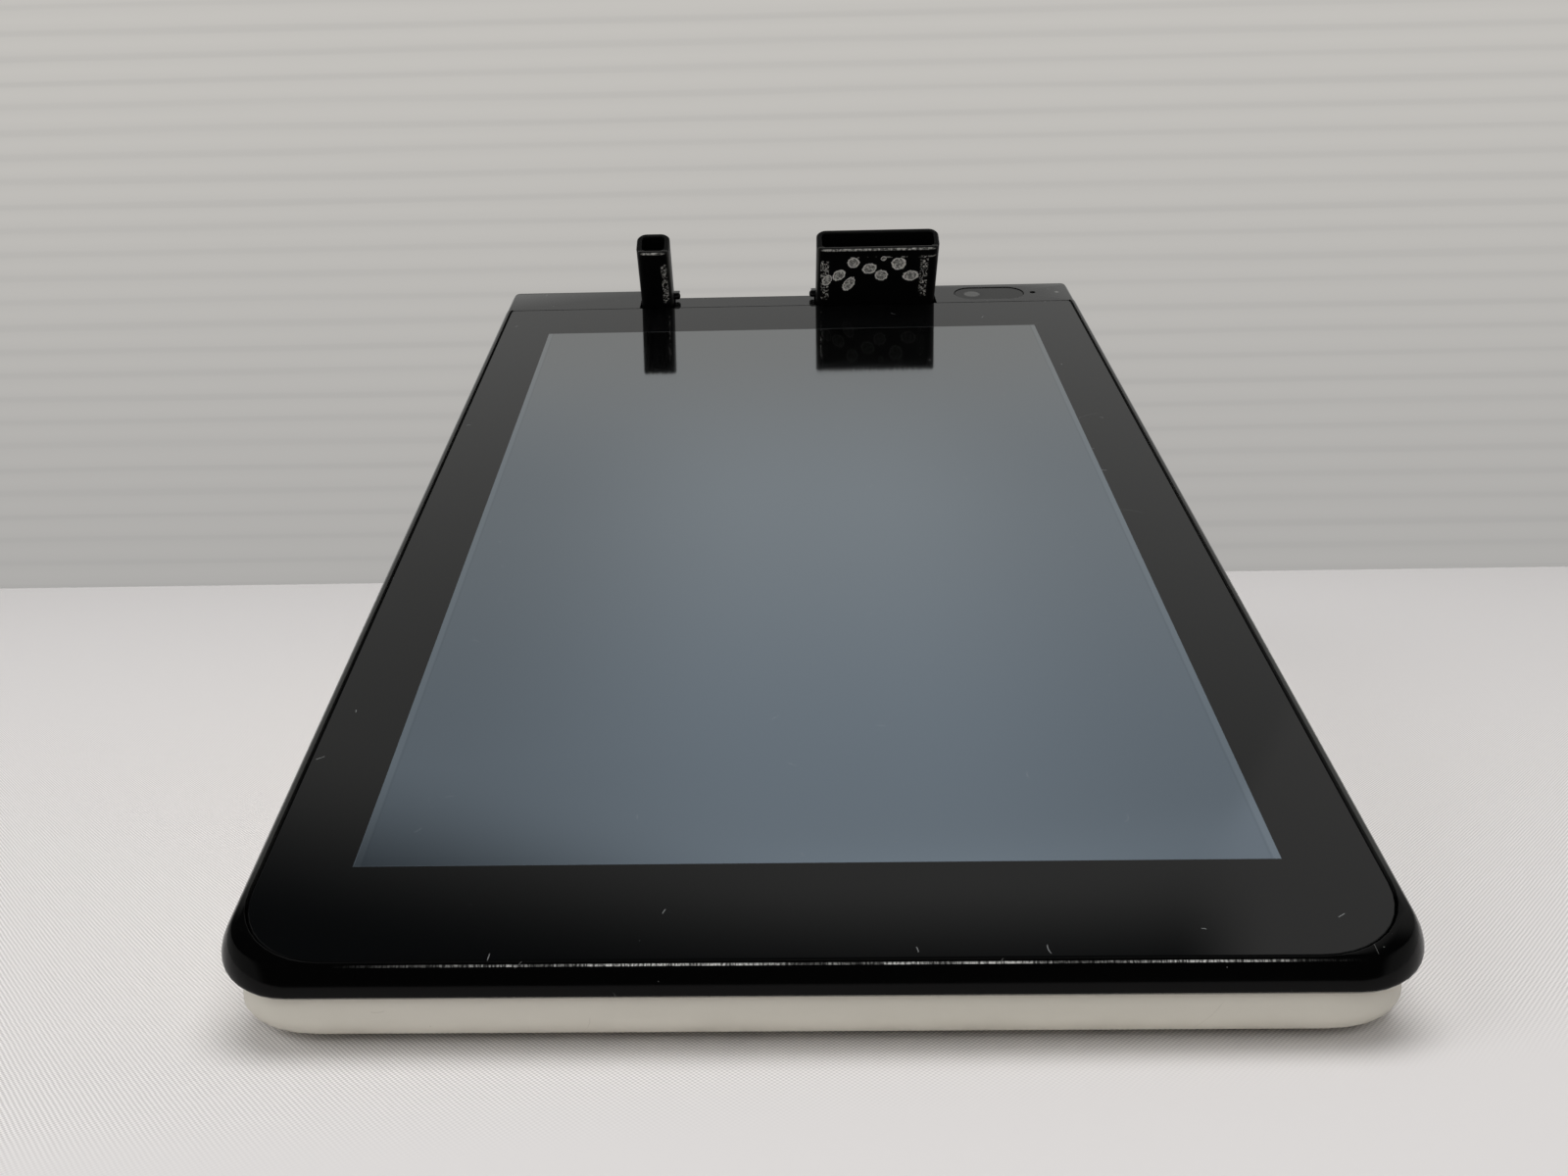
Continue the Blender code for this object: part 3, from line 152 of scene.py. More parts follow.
# One material or world, and the nodes that feed it
class Paint(Wiring):
    def __init__(self, name, world=None):
        self.material = world or bpy.data.materials.new(name)
        self.material.use_nodes = True
        self.tree = self.material.node_tree
        self.tree.nodes.clear()
        kind = "ShaderNodeOutputWorld" if world else "ShaderNodeOutputMaterial"
        self.output = self.tree.nodes.new(kind)

    # The surface in the axes of a place, in millimetres or another scale
    def map(self, place, scale=mm):
        spot = self.get("ShaderNodeTexCoord", {}, {}, "Object")
        turn = tuple(math.radians(a) for a in place["turn"])
        values = {"Vector": spot, "Location": place["origin"], "Rotation": turn}
        values["Scale"] = scale if isinstance(scale, tuple) else (scale, scale, scale)
        return self.get("ShaderNodeMapping", {"vector_type": "TEXTURE"}, values, "Vector")

    def split(self, vector):
        node = self.add("ShaderNodeSeparateXYZ", {}, {"Vector": vector})
        return [Flow(self, node.outputs[i]) for i in range(3)]

    def noise(self, vector, scale, detail=2.0, roughness=0.5, distortion=0.0):
        values = {"Vector": vector, "Scale": scale, "Detail": detail}
        values.update({"Roughness": roughness, "Distortion": distortion})
        return self.get("ShaderNodeTexNoise", {}, values, "Fac")

    def cells(self, vector, scale, dimensions):
        settings = {"feature": "F1", "voronoi_dimensions": dimensions}
        return self.add("ShaderNodeTexVoronoi", settings, {"Vector": vector, "Scale": scale})

    def blend(self, share, first, second):
        values = {"Factor": share, 6: first, 7: second}
        return self.get("ShaderNodeMix", {"data_type": "RGBA"}, values, 2)

    # Either of two shaders, by a share that may vary
    def either(self, share, first, second):
        return self.get("ShaderNodeMixShader", {}, {0: share, 1: first, 2: second}, 0)

    def relief(self, height, strength, distance, normal=None):
        values = {"Height": height, "Strength": strength, "Distance": distance}
        if normal is not None:
            values["Normal"] = normal
        return self.get("ShaderNodeBump", {}, values, "Normal")

    def softEdge(self, radius):
        return self.get("ShaderNodeBevel", {"samples": 5}, {"Radius": radius}, "Normal")

    # Roughness that drifts a little: base, spread and patches per millimetre
    def uneven(self, spot, base, spread, scale):
        return base + self.noise(spot, scale, 3.0) * spread

    # Roughness of wiped glass, in long streaks across it
    def wiped(self, place, base, spread, scale):
        streaks = self.noise(self.map(place, (0.003, mm, mm)), scale, 4.0, 0.6)
        return base + streaks.rise(0.35, 0.8) * spread

    def shader(self, values):
        return self.get("ShaderNodeBsdfPrincipled", {}, values, "BSDF")

    def coat(self, values):
        return self.finish(self.shader(values))

    def finish(self, shader):
        self.tree.links.new(shader.socket, self.output.inputs["Surface"])
        return self.material

    # Scattered dust: cells to a millimetre, size of the discs, and share of cells with one
    def dust(self, vector, scale, size, share):
        cells = self.cells(vector, scale, "3D")
        tone = self.split(Flow(self, cells.outputs["Color"]))
        here = tone[0].rise(1 - share, 1 - share + 0.01)
        reach = (tone[1] * size + size * 0.3) * scale
        return here * (1 - (Flow(self, cells.outputs["Distance"]) / reach).rise(0.6, 1.0))

    # Scattered fibres and short scratches, each bent a little and turned its own way
    def fibres(self, vector, spacing, length, width, share):
        cells = self.cells(vector, 1.0 / spacing, "2D")
        tone = self.split(Flow(self, cells.outputs["Color"]))
        middle = self.split(Flow(self, cells.outputs["Position"]))
        x, y = self.split(vector)[:2]
        x, y = x - middle[0], y - middle[1]
        turn = tone[1] * (2 * math.pi)
        along = x * turn.cosine() + y * turn.sine()
        across = y * turn.cosine() - x * turn.sine()
        across = across + along * along * (tone[2] - 0.5) / length
        reach = (tone[2] * 0.7 + 0.3) * length
        line = 1 - (abs(across) / width).rise(0.4, 1.0)
        ends = 1 - (abs(along) / reach).rise(0.6, 1.0)
        return line * ends * tone[0].rise(1 - share, 1 - share + 0.01)

    # The specks and scratches of one finish
    def dirt(self, spot, kit):
        specks = self.dust(spot, *kit["specks"]) * kit["speckTone"]
        return specks.most(self.fibres(spot, *kit["scratches"]) * kit["scratchTone"])

    # A round or oval patch: 0 at its middle, 1 at its edge
    def oval(self, across, up, middle, half, turn=0.0):
        a, b = across - middle[0], up - middle[1]
        c, s = math.cos(math.radians(turn)), math.sin(math.radians(turn))
        first = (a * c + b * s) / half[0]
        second = (b * c - a * s) / half[1]
        return (first * first + second * second).root()


# Finishes by their slot's name. In every kit, specks are cells to a millimetre, size and share
# of cells with one. Scratches are spacing, length, width and share. Roughness is base, spread
# and patches per millimetre
finishes = {}

ivory = {
    "colour": (0.668, 0.636, 0.562, 1.0),
    "aged": (0.640, 0.611, 0.530, 1.0),
    "ageScale": 0.018,  # patches per millimetre
    "dirtAndFootDark": (0.36, 0.33, 0.27, 1.0),
    "footDarkTone": 0.22,
    "footDarkTop": (1.6, 4.5),  # where the darker patches at the foot fade out, above the counter
    "specks": (0.30, 0.09, 0.35),
    "speckTone": 0.4,
    "scratches": (14.0, 1.6, 0.05, 0.35),
    "scratchTone": 0.25,
    "scratchTurn": (54.7, 0.0, 45.0),  # askew to every wall, so that none is drawn out
    "grain": 2.6,  # moulded texture, bumps per millimetre
    "grainDepth": 0.00002,
    "edge": 0.0003,
    "roughness": (0.46, 0.14, 0.11),
}


def makeIvory():
    p = Paint("ivoryPlastic")
    spot = p.map(plainPlace)
    z = p.split(spot)[2]
    age = p.noise(spot, ivory["ageScale"], 2.0).rise(0.25, 0.85)
    colour = p.blend(age, ivory["colour"], ivory["aged"])
    # darker in patches towards the foot, just above the counter
    low = (1 - z.rise(*ivory["footDarkTop"])) * p.noise(spot, 0.12, 4.0).rise(0.40, 0.75)
    specks = p.dust(spot, *ivory["specks"])
    marks = p.fibres(p.map({**plainPlace, "turn": ivory["scratchTurn"]}), *ivory["scratches"])
    dirt = low * ivory["footDarkTone"] + specks * ivory["speckTone"]
    colour = p.blend(dirt.most(marks * ivory["scratchTone"]), colour, ivory["dirtAndFootDark"])
    grain = p.noise(spot, ivory["grain"], 3.0, 0.55)
    normal = p.relief(grain, 0.30, ivory["grainDepth"], p.softEdge(ivory["edge"]))
    rough = p.uneven(spot, *ivory["roughness"])
    values = {"Base Color": colour, "Roughness": rough, "Normal": normal}
    finishes["ivory_plastic"] = p.coat(values)


gloss = {
    "colour": (0.0008, 0.0008, 0.0008, 1.0),
    "dustColour": (0.16, 0.16, 0.155, 1.0),
    "lipWearAndHighlightColour": (0.55, 0.55, 0.53, 1.0),
    "lipWearAndHighlightTone": (0.15, 1.25),
    "wearLong": 0.005,  # metres across the rim for one unit of the long and of the short breaks
    "wearShort": 0.00022,
    "lipNear": -89.06,  # the rim's lip, worn and with a painted highlight, in the screen's axes
    "lipHalf": 0.12,
    "lipHeight": (-0.35, -0.2),
    "lipEnds": (-46.0, -22.0, 38.0, 51.0),
    # painted reflection: the rim's flanks are paler, a little more on the right
    "flankReflectionColour": (0.042, 0.042, 0.040, 1.0),
    "flankReflectionTone": (0.85, 0.15),
    "flankSide": (56.35, 56.6),
    "flankNear": (-84.0, -74.0),
    "flankTurn": (-20.0, 20.0),
    "specks": (0.55, 0.09, 0.30),
    "speckTone": 0.5,
    "scratches": (9.0, 1.3, 0.05, 0.45),
    "scratchTone": 0.4,
    "roughness": (0.10, 0.06, 0.05),
    "specular": 0.12,
    "edge": 0.00013,
}


def makeGloss():
    p = Paint("glossBlack")
    spot = p.map(screenPlace)
    x, y, z = p.split(spot)
    long = p.noise(p.map(screenPlace, (gloss["wearLong"], mm, mm)), 0.5, 4.0, 0.7)
    short = p.noise(p.map(screenPlace, (gloss["wearShort"], mm, mm)), 0.9, 2.0, 0.7)
    start, full, thin, gone = gloss["lipEnds"]
    # the lip's broken bright line: partly wear, partly a painted highlight along its edge
    lip = y.near(gloss["lipNear"], gloss["lipHalf"] * 0.5, gloss["lipHalf"])
    lip = lip * z.rise(*gloss["lipHeight"]) * x.rise(start, full) * (1 - x.rise(thin, gone))
    least, more = gloss["lipWearAndHighlightTone"]
    lip = lip * (long.rise(0.36, 0.64) * 0.75 + 0.1) * (least + short.rise(0.42, 0.60) * more)
    dirt = p.dirt(spot, gloss)
    # painted reflection: the rim's flanks are paler where they would mirror the room, a little
    # more on the right
    least, more = gloss["flankReflectionTone"]
    flankReflection = abs(x).rise(*gloss["flankSide"]) * y.rise(*gloss["flankNear"])
    flankReflection = flankReflection * (least + x.rise(*gloss["flankTurn"]) * more)
    colour = p.blend(flankReflection, gloss["colour"], gloss["flankReflectionColour"])
    colour = p.blend(dirt, colour, gloss["dustColour"])
    colour = p.blend(lip, colour, gloss["lipWearAndHighlightColour"])
    rough = p.uneven(spot, *gloss["roughness"]) + dirt * 0.5 + lip * 0.3
    normal = p.relief(p.noise(spot, 1.4, 3.0), 0.05, 0.00001, p.softEdge(gloss["edge"]))
    values = {"Base Color": colour, "Roughness": rough, "Normal": normal}
    finishes["black_gloss_plastic"] = p.coat({**values, "Specular IOR Level": gloss["specular"]})


# The panel under the glass mirrors the room, so it is painted as dull metal inside the border, its
# tones from near to far a painted reflection, with painted shade at its sides and near left corner
display = {
    "half": (47.1, 75.35),
    "softness": 0.06,
    "near": (0.330, 0.403, 0.487, 1.0),
    "middle": (0.365, 0.42, 0.475, 1.0),
    "far": (0.315, 0.325, 0.33, 1.0),
    "nearToMiddle": (-0.9, 0.1),  # in shares of the half height
    "middleToFar": (-0.1, 1.05),
    "shade": (0.09, 0.11, 0.13, 1.0),
    "shadeTones": (0.35, 0.26, 0.30),  # at the left side, the right side and the near left corner
    "border": (0.0016, 0.0017, 0.0018, 1.0),
    "margin": 0.75,  # the panel's paler margin along its long sides, a painted highlight, with a darker line inside it
    "marginHighlightColour": (0.62, 0.72, 0.80, 1.0),
    "marginHighlightTone": 0.09,
    "lineColour": (0.12, 0.15, 0.18, 1.0),
    "lineTone": 0.12,
    "dustColour": (0.36, 0.37, 0.37, 1.0),
    "specks": (0.30, 0.06, 0.30),
    "speckTone": 0.5,
    "scratches": (13.0, 0.8, 0.07, 0.5),
    "scratchTone": 0.45,
    "hairs": (23.0, 3.0, 0.035, 0.5),
    "hairScale": 0.0013,
    "hairTone": 0.135,
    "roughness": (0.045, 0.06, 0.03),
    "edge": 0.00015,
}


def makeGlass():
    p = Paint("coverGlass")
    spot = p.map(screenPlace)
    x, y = p.split(spot)[:2]
    wide, tall = display["half"]
    soft, margin = display["softness"], display["margin"]
    inside = wide - abs(x)
    window = inside.least(tall - abs(y)).rise(-soft, soft)
    up, left, right = y / tall, x / -wide, x / wide
    # painted reflection: the panel's tones from near to far
    tone = p.blend(up.rise(*display["nearToMiddle"]), display["near"], display["middle"])
    tone = p.blend(up.rise(*display["middleToFar"]), tone, display["far"])
    # painted shade at the panel's sides and near left corner
    leftTone, rightTone, cornerTone = display["shadeTones"]
    side = left.rise(0.1, 1.0) * leftTone + right.rise(0.2, 1.0) * rightTone
    side = side * (1 - up.rise(0.05, 0.9) * 0.9)
    corner = left.rise(0.0, 1.0) * (1 - up.rise(-1.1, -0.5)) * cornerTone
    tone = p.blend(side.most(corner + side * 0.6), tone, display["shade"])
    line = inside.near(margin + 0.1, 0.08, 0.22)
    tone = p.blend(line * display["lineTone"], tone, display["lineColour"])
    # painted highlight: the paler margin along the long sides
    band = 1 - inside.rise(margin - 0.1, margin + 0.1)
    tone = p.blend(band * display["marginHighlightTone"], tone, display["marginHighlightColour"])
    colour = p.blend(window, display["border"], tone)
    hairs = p.fibres(p.map(screenPlace, display["hairScale"]), *display["hairs"])
    dirt = p.dirt(spot, display).most(hairs * display["hairTone"]) * (1 - window * 0.6)
    colour = p.blend(dirt, colour, display["dustColour"])
    rough = p.wiped(screenPlace, *display["roughness"]) + dirt * 0.4
    values = {"Base Color": colour, "Metallic": window * (1 - dirt), "Roughness": rough}
    finishes["screen_glass"] = p.coat({**values, "Normal": p.softEdge(display["edge"])})


# The camera's window: a lens disc and its ring show through the dark glass
cameraLook = {
    "lens": (37.4, 93.9),
    "lensHalf": (1.55, 1.55),
    "disc": (0.080, 0.080, 0.077, 1.0),
    "discEdge": (0.85, 1.15),  # in shares of the lens
    "discTone": (0.8, 0.3),
    "ring": (0.0005, 0.0005, 0.0005, 1.0),
    "ringAt": 1.35,
    "ringHalf": (0.2, 0.45),
    "colour": (0.0035, 0.0034, 0.0032, 1.0),
    "roughness": (0.07, 0.08, 0.2),
    "specular": 0.23,
    "edge": 0.0002,
}


def makeCameraGlass():
    p = Paint("cameraGlass")
    spot = p.map(screenPlace)
    x, y = p.split(spot)[:2]
    reach = p.oval(x, y, cameraLook["lens"], cameraLook["lensHalf"])
    ring = reach.near(cameraLook["ringAt"], *cameraLook["ringHalf"])
    colour = p.blend(ring * 0.9, cameraLook["colour"], cameraLook["ring"])
    least, more = cameraLook["discTone"]
    disc = (1 - reach.rise(*cameraLook["discEdge"])) * (least + p.noise(spot, 0.6, 2.0) * more)
    colour = p.blend(disc, colour, cameraLook["disc"])
    rough = p.uneven(spot, *cameraLook["roughness"])
    values = {"Base Color": colour, "Roughness": rough, "Normal": p.softEdge(cameraLook["edge"])}
    finishes["cameraGlass"] = p.coat({**values, "Specular IOR Level": cameraLook["specular"]})


# The customer's glass, in the rear face's axes: black border, and a panel that is switched off
customerLook = {
    "half": 50.0,
    "low": -23.5,
    "high": 32.5,
    "softness": 0.06,
    "panel": (0.030, 0.036, 0.043, 1.0),
    "border": (0.0016, 0.0017, 0.0018, 1.0),
    "dustColour": (0.30, 0.30, 0.30, 1.0),
    "specks": (0.3, 0.06, 0.3),
    "speckTone": 0.4,
    "scratches": (12.0, 0.9, 0.06, 0.4),
    "scratchTone": 0.4,
    "roughness": (0.05, 0.08, 0.04),
    "edge": 0.00015,
}


def makeCustomerGlass():
    p = Paint("customerGlass")
    spot = p.map(rearPlace)
    x, y = p.split(spot)[:2]
    soft = customerLook["softness"]
    inside = (y - customerLook["low"]).least(customerLook["high"] - y)
    window = inside.least(customerLook["half"] - abs(x)).rise(-soft, soft)
    colour = p.blend(window, customerLook["border"], customerLook["panel"])
    dirt = p.dirt(spot, customerLook)
    colour = p.blend(dirt, colour, customerLook["dustColour"])
    rough = p.wiped(rearPlace, *customerLook["roughness"]) + dirt * 0.4
    values = {"Base Color": colour, "Roughness": rough, "Normal": p.softEdge(customerLook["edge"])}
    finishes["customerGlass"] = p.coat(values)


stripLook = {
    "colour": (0.003, 0.003, 0.003, 1.0),
    "dustColour": (0.3, 0.3, 0.29, 1.0),
    "specks": (0.6, 0.09, 0.30),
    "speckTone": 0.4,
    "scratches": (8.0, 1.0, 0.06, 0.4),
    "scratchTone": 0.4,
    "light": (54.7, 93.9),  # the tiny light beside the camera
    "lightHalf": (0.45, 0.55),
    "lightColour": (0.35, 0.35, 0.34, 1.0),
    "lightTone": 0.35,
    "roughness": (0.10, 0.08, 0.07),
    "edge": 0.00015,
}


def makeStrip():
    p = Paint("glossStrip")
    spot = p.map(screenPlace)
    x, y = p.split(spot)[:2]
    dirt = p.dirt(spot, stripLook)
    colour = p.blend(dirt, stripLook["colour"], stripLook["dustColour"])
    lit = 1 - p.oval(x, y, stripLook["light"], stripLook["lightHalf"]).rise(0.6, 1.1)
    colour = p.blend(lit * stripLook["lightTone"], colour, stripLook["lightColour"])
    rough = p.uneven(spot, *stripLook["roughness"]) + dirt * 0.4
    values = {"Base Color": colour, "Roughness": rough, "Normal": p.softEdge(stripLook["edge"])}
    finishes["strip_gloss"] = p.coat(values)


# Rubbed places on the posts' faces under the rims: middle across and up, half sizes and turn
post = {
    "colour": (0.0016, 0.0016, 0.0016, 1.0),
    "bare": (0.84, 0.83, 0.77, 1.0),
    "rubbed": (
        ((12.6, 10.3), (1.25, 1.3), 0),
        ((21.5, 9.9), (1.5, 1.55), -20),
        ((15.8, 8.8), (1.5, 1.3), 20),
        ((11.8, 5.1), (1.1, 1.9), -28),
        ((18.2, 7.1), (1.35, 1.35), 0),
        ((18.5, 11.2), (0.6, 0.55), 0),
        ((24.0, 6.9), (1.65, 1.3), 8),
        ((9.8, 7.3), (1.15, 1.6), -40),
        ((7.5, 6.1), (0.9, 1.45), -25),
    ),
    "scuffs": (  # left and right edge, low and high end, of each rough strip
        (6.3, 7.7, 1.4, 10.6),
        (25.9, 27.2, 2.0, 11.6),
        (-25.3, -24.2, 1.3, 10.4),
    ),
    "front": (0.25, 0.6),  # the rubbed wall, in millimetres behind the posts' axes
    "rimLine": 11.55,  # a broken line under the wide post's rim
    "rimLineFrom": (8.5, 9.0),
    "rimLineTone": 0.45,
    "rimTop": (13.0, 13.25),
    "rimOuter": (0.20, 0.45),  # the worn outer edge of the rim, and the fine line at its inner one
    "rimInner": 1.0,
    "gleam": (0.04, 0.18),  # bare patches gleam at a slant
    "leastGleam": 0.03,
    "roughness": (0.36, 0.10, 0.3),
    "bareRoughness": 0.55,
    "specular": 0.2,
    "edge": 0.00025,
}


def makePost():
    p = Paint("postBlack")
    spot = p.map(postPlace)
    x, y, z = p.split(spot)
    front = 1 - y.rise(*post["front"])
    ragged = p.noise(spot, 1.7, 4.0, 0.7)
    grit = p.noise(spot, 1.9, 3.0, 0.65)
    nearest = reduce(Flow.least, [p.oval(x, z, *patch) for patch in post["rubbed"]])
    nearest = nearest + (ragged - 0.5) * 0.7
    patches = 1 - nearest.rise(0.85, 1.0)
    rings = nearest.near(0.86, 0.05, 0.17) * (0.45 + ragged * 0.9)
    spots = patches * (0.20 + grit.rise(0.44, 0.62) * 0.65 + rings)
    loops = p.noise(spot, 0.75, 2.0, 0.5, 1.5).near(0.5, 0.012, 0.045)
    strips = [x.span(a, b, 0.2) * z.span(c, d, 0.3) for a, b, c, d in post["scuffs"]]
    scuffed = (loops * grit.rise(0.3, 0.6)).most(grit.rise(0.58, 0.66) * 0.6)
    scuffs = reduce(Flow.most, strips) * scuffed
    dashes = z.near(post["rimLine"], 0.05, 0.22) * p.noise(spot, 0.6, 2.0).rise(0.52, 0.56)
    dashes = dashes * x.rise(*post["rimLineFrom"]) * post["rimLineTone"]
    top = z.rise(*post["rimTop"])
    outer = top * (1 - y.rise(*post["rimOuter"])) * (0.05 + grit.rise(0.42, 0.62) * 0.38)
    inner = top * y.near(post["rimInner"], 0.08, 0.2) * 0.05
    worn = (top * 0.003).most(outer).most(inner)
    marks = front * spots.most(scuffs).most(dashes)
    grain = p.noise(spot, 3.0, 3.0) * 0.3 + marks
    normal = p.relief(grain, 0.12, 0.00004, p.softEdge(post["edge"]))
    black = {"Base Color": p.blend(worn, post["colour"], post["bare"]), "Normal": normal}
    black["Roughness"] = p.uneven(spot, *post["roughness"])
    black = p.shader({**black, "Specular IOR Level": post["specular"]})
    bare = {"Base Color": post["bare"], "Roughness": post["bareRoughness"], "Normal": normal}
    slant = p.get("ShaderNodeLayerWeight", {}, {"Blend": 0.5}, "Facing")
    gleam = post["leastGleam"] + slant.rise(*post["gleam"]) * (1 - post["leastGleam"])
    finishes["post_black"] = p.finish(p.either(marks * gleam, black, p.shader(bare)))


# The finishes with no place of their own on the object: colour, second colour, spread of the
# mottling, roughness, metal and depth of the grain
plainFinishes = {
    "lens_glass": ((0.010, 0.009, 0.008, 1), (0.016, 0.014, 0.012, 1), 0.2, 0.06, 0.0, 0.0),
    "dark_plastic": ((0.020, 0.020, 0.021, 1), (0.034, 0.034, 0.035, 1), 0.25, 0.44, 0.0, 0.00002),
    "sheet_steel": ((0.50, 0.51, 0.53, 1), (0.40, 0.41, 0.42, 1), 0.22, 0.30, 1.0, 0.000004),
    "circuit_board": ((0.012, 0.085, 0.040, 1), (0.02, 0.13, 0.06, 1), 0.5, 0.38, 0.0, 0.00001),
    "display_panel": ((0.085, 0.10, 0.12, 1), (0.07, 0.085, 0.10, 1), 0.05, 0.22, 0.0, 0.0),
    "rubber": ((0.022, 0.022, 0.022, 1), (0.04, 0.04, 0.04, 1), 0.4, 0.78, 0.0, 0.00003),
    "thermal_paper": ((0.80, 0.80, 0.77, 1), (0.72, 0.72, 0.69, 1), 0.3, 0.62, 0.0, 0.00001),
    "battery_wrap": ((0.045, 0.055, 0.085, 1), (0.03, 0.035, 0.06, 1), 0.15, 0.35, 0.0, 0.00002),
    "head_ceramic": ((0.62, 0.60, 0.54, 1), (0.54, 0.52, 0.47, 1), 0.3, 0.28, 0.0, 0.0),
    "contactGold": ((0.86, 0.62, 0.26, 1), (0.80, 0.55, 0.22, 1), 0.5, 0.24, 1.0, 0.0),
    "roll_core_plastic": ((0.30, 0.31, 0.33, 1), (0.24, 0.25, 0.27, 1), 0.3, 0.5, 0.0, 0.00001),
}
plainEdge = 0.0002


def makePlain(slot, colour, second, spread, rough, metal, depth):
    p = Paint(slot.replace("_", " ").title().replace(" ", ""))
    spot = p.map(plainPlace)
    mottle = p.noise(spot, spread, 4.0, 0.6)
    tone = p.blend(mottle.rise(0.3, 0.7), colour, second)
    normal = p.softEdge(plainEdge)
    if depth:
        normal = p.relief(p.noise(spot, 2.8, 3.0), 0.3, depth, normal)
    roughness = rough + mottle * 0.12 - 0.06
    values = {"Base Color": tone, "Roughness": roughness, "Metallic": metal, "Normal": normal}
    finishes[slot] = p.coat(values)


def makeFinishes():
    makeIvory()
    makeGloss()
    makeGlass()
    makeCameraGlass()
    makeCustomerGlass()
    makeStrip()
    makePost()
    for slot, values in plainFinishes.items():
        makePlain(slot, *values)
    print("finishes made:", len(finishes))


meshing = {
    "joinGap": 1e-6,  # metres between points that are one
    "mergeTurn": 0.05,  # degrees between faces that are one
    "crease": 32.0,  # degrees past which an edge stays sharp
}


# Puts a mesh, lamp or camera in the scene under a name
def shown(name, data):
    piece = bpy.data.objects.new(name, data)
    bpy.context.scene.collection.objects.link(piece)
    return piece


# Changes a mesh by a function on its bmesh, and shades it smoothly
def rework(mesh, change):
    work = bmesh.new()
    work.from_mesh(mesh)
    change(work)
    for face in work.faces:
        face.smooth = True
    work.to_mesh(mesh)
    work.free()


# Joins a mesh's points and keeps its sharp edges sharp
def shadeByCrease(mesh, mergeFlats=False):
    crease, mergeTurn = math.radians(meshing["crease"]), math.radians(meshing["mergeTurn"])

    def change(work):
        bmesh.ops.remove_doubles(work, verts=work.verts, dist=meshing["joinGap"])
        if mergeFlats:
            found = {"verts": work.verts, "edges": work.edges}
            bmesh.ops.dissolve_limit(work, angle_limit=mergeTurn, **found)
        for edge in work.edges:
            edge.smooth = len(edge.link_faces) == 2 and edge.calc_face_angle(0.0) < crease

    rework(mesh, change)


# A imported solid's copy, with its loose triangles joined again
def smoothCopy(node, name):
    mesh = cadNodes[node].data.copy()
    mesh.name = name
    shadeByCrease(mesh, True)
    if mesh.has_custom_normals:
        mesh.attributes.remove(mesh.attributes["custom_normal"])
    return shown(name, mesh)


# Says where a finished piece belongs: its body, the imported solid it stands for, and its finish
def seat(piece, body, finish, stands=None, look=None):
    piece.data.materials.clear()
    piece.data.materials.append(finishes[look or finish])
    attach(piece, body)
    if stands:
        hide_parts(stands)


def turnOf(place):
    turn = Euler([math.radians(a) for a in place["turn"]], "XYZ").to_matrix().to_4x4()
    return Matrix.Translation(Vector(place["origin"])) @ turn


# An outline with round corners in millimetres: left, right, near, far, near radius, far radius
def roundOutline(left, right, near, far, nearRadius, farRadius, steps=8):
    corners = (
        (left + nearRadius, near + nearRadius, nearRadius, 180),
        (right - nearRadius, near + nearRadius, nearRadius, 270),
        (right - farRadius, far - farRadius, farRadius, 0),
        (left + farRadius, far - farRadius, farRadius, 90),
    )
    points = []
    for x, y, radius, start in corners:
        for step in range(steps + 1):
            a = math.radians(start + 90 * step / steps)
            points.append((x + radius * math.cos(a), y + radius * math.sin(a)))
    return points


# A closed solid through outlines of equal count, lowest first, made in the axes of a place
def skinSolid(name, place, rings):
    work = bmesh.new()
    rows = []
    for outline, z in rings:
        rows.append([work.verts.new((x * mm, y * mm, z * mm)) for x, y in outline])
    count = len(rows[0])
    for low, high in zip(rows, rows[1:]):
        for i in range(count):
            j = (i + 1) % count
            work.faces.new((low[i], low[j], high[j], high[i]))
    work.faces.new(list(reversed(rows[0])))
    work.faces.new(rows[-1])
    bmesh.ops.remove_doubles(work, verts=work.verts, dist=1e-7)
    bmesh.ops.recalc_face_normals(work, faces=work.faces)
    mesh = bpy.data.meshes.new(name)
    work.to_mesh(mesh)
    work.free()
    mesh.transform(turnOf(place))
    return shown(name, mesh)


# Takes the modifiers' result as the piece's own plain mesh
def settle(piece):
    graph = bpy.context.evaluated_depsgraph_get()
    mesh = bpy.data.meshes.new_from_object(piece.evaluated_get(graph))
    mesh.name = piece.name
    piece.modifiers.clear()
    piece.data = mesh


def cutOut(piece, cutters):
    for cutter in cutters:
        change = piece.modifiers.new("cut", "BOOLEAN")
        change.operation = "DIFFERENCE"
        change.solver = "EXACT"
        change.object = cutter
    settle(piece)
    for cutter in cutters:
        bpy.data.objects.remove(cutter)


# The strip above the glass: sizes in the screen's axes, with the holes for what stands in it
topStrip = {
    "half": 58.35,
    "near": 88.80,
    "far": 99.45,
    "bottom": -1.6,
    "crownWidth": 2.2,
    "crownDepth": 2.1,
    "crownPower": 1.5,
    "lip": 0.2,
    "sideShare": 0.6,
    "farShare": 0.16,
    "cornerShare": 0.5,
    "nearCorner": 0.25,
    "farCorner": 1.9,
    "steps": 12,
    "notch": (-22.8, 4.6, 94.5, 104.0),
    "window": (40.9, 93.95, 7.12, 3.59),
    "mic": (49.8, 93.95, 0.6),
    "cut": (-4.0, 2.0),
    "posts": ((-30.1, -23.6), (5.4, 29.4)),
    "postDepth": 6.5,
    "postCorner": 1.9,
    "fit": 0.3,
}


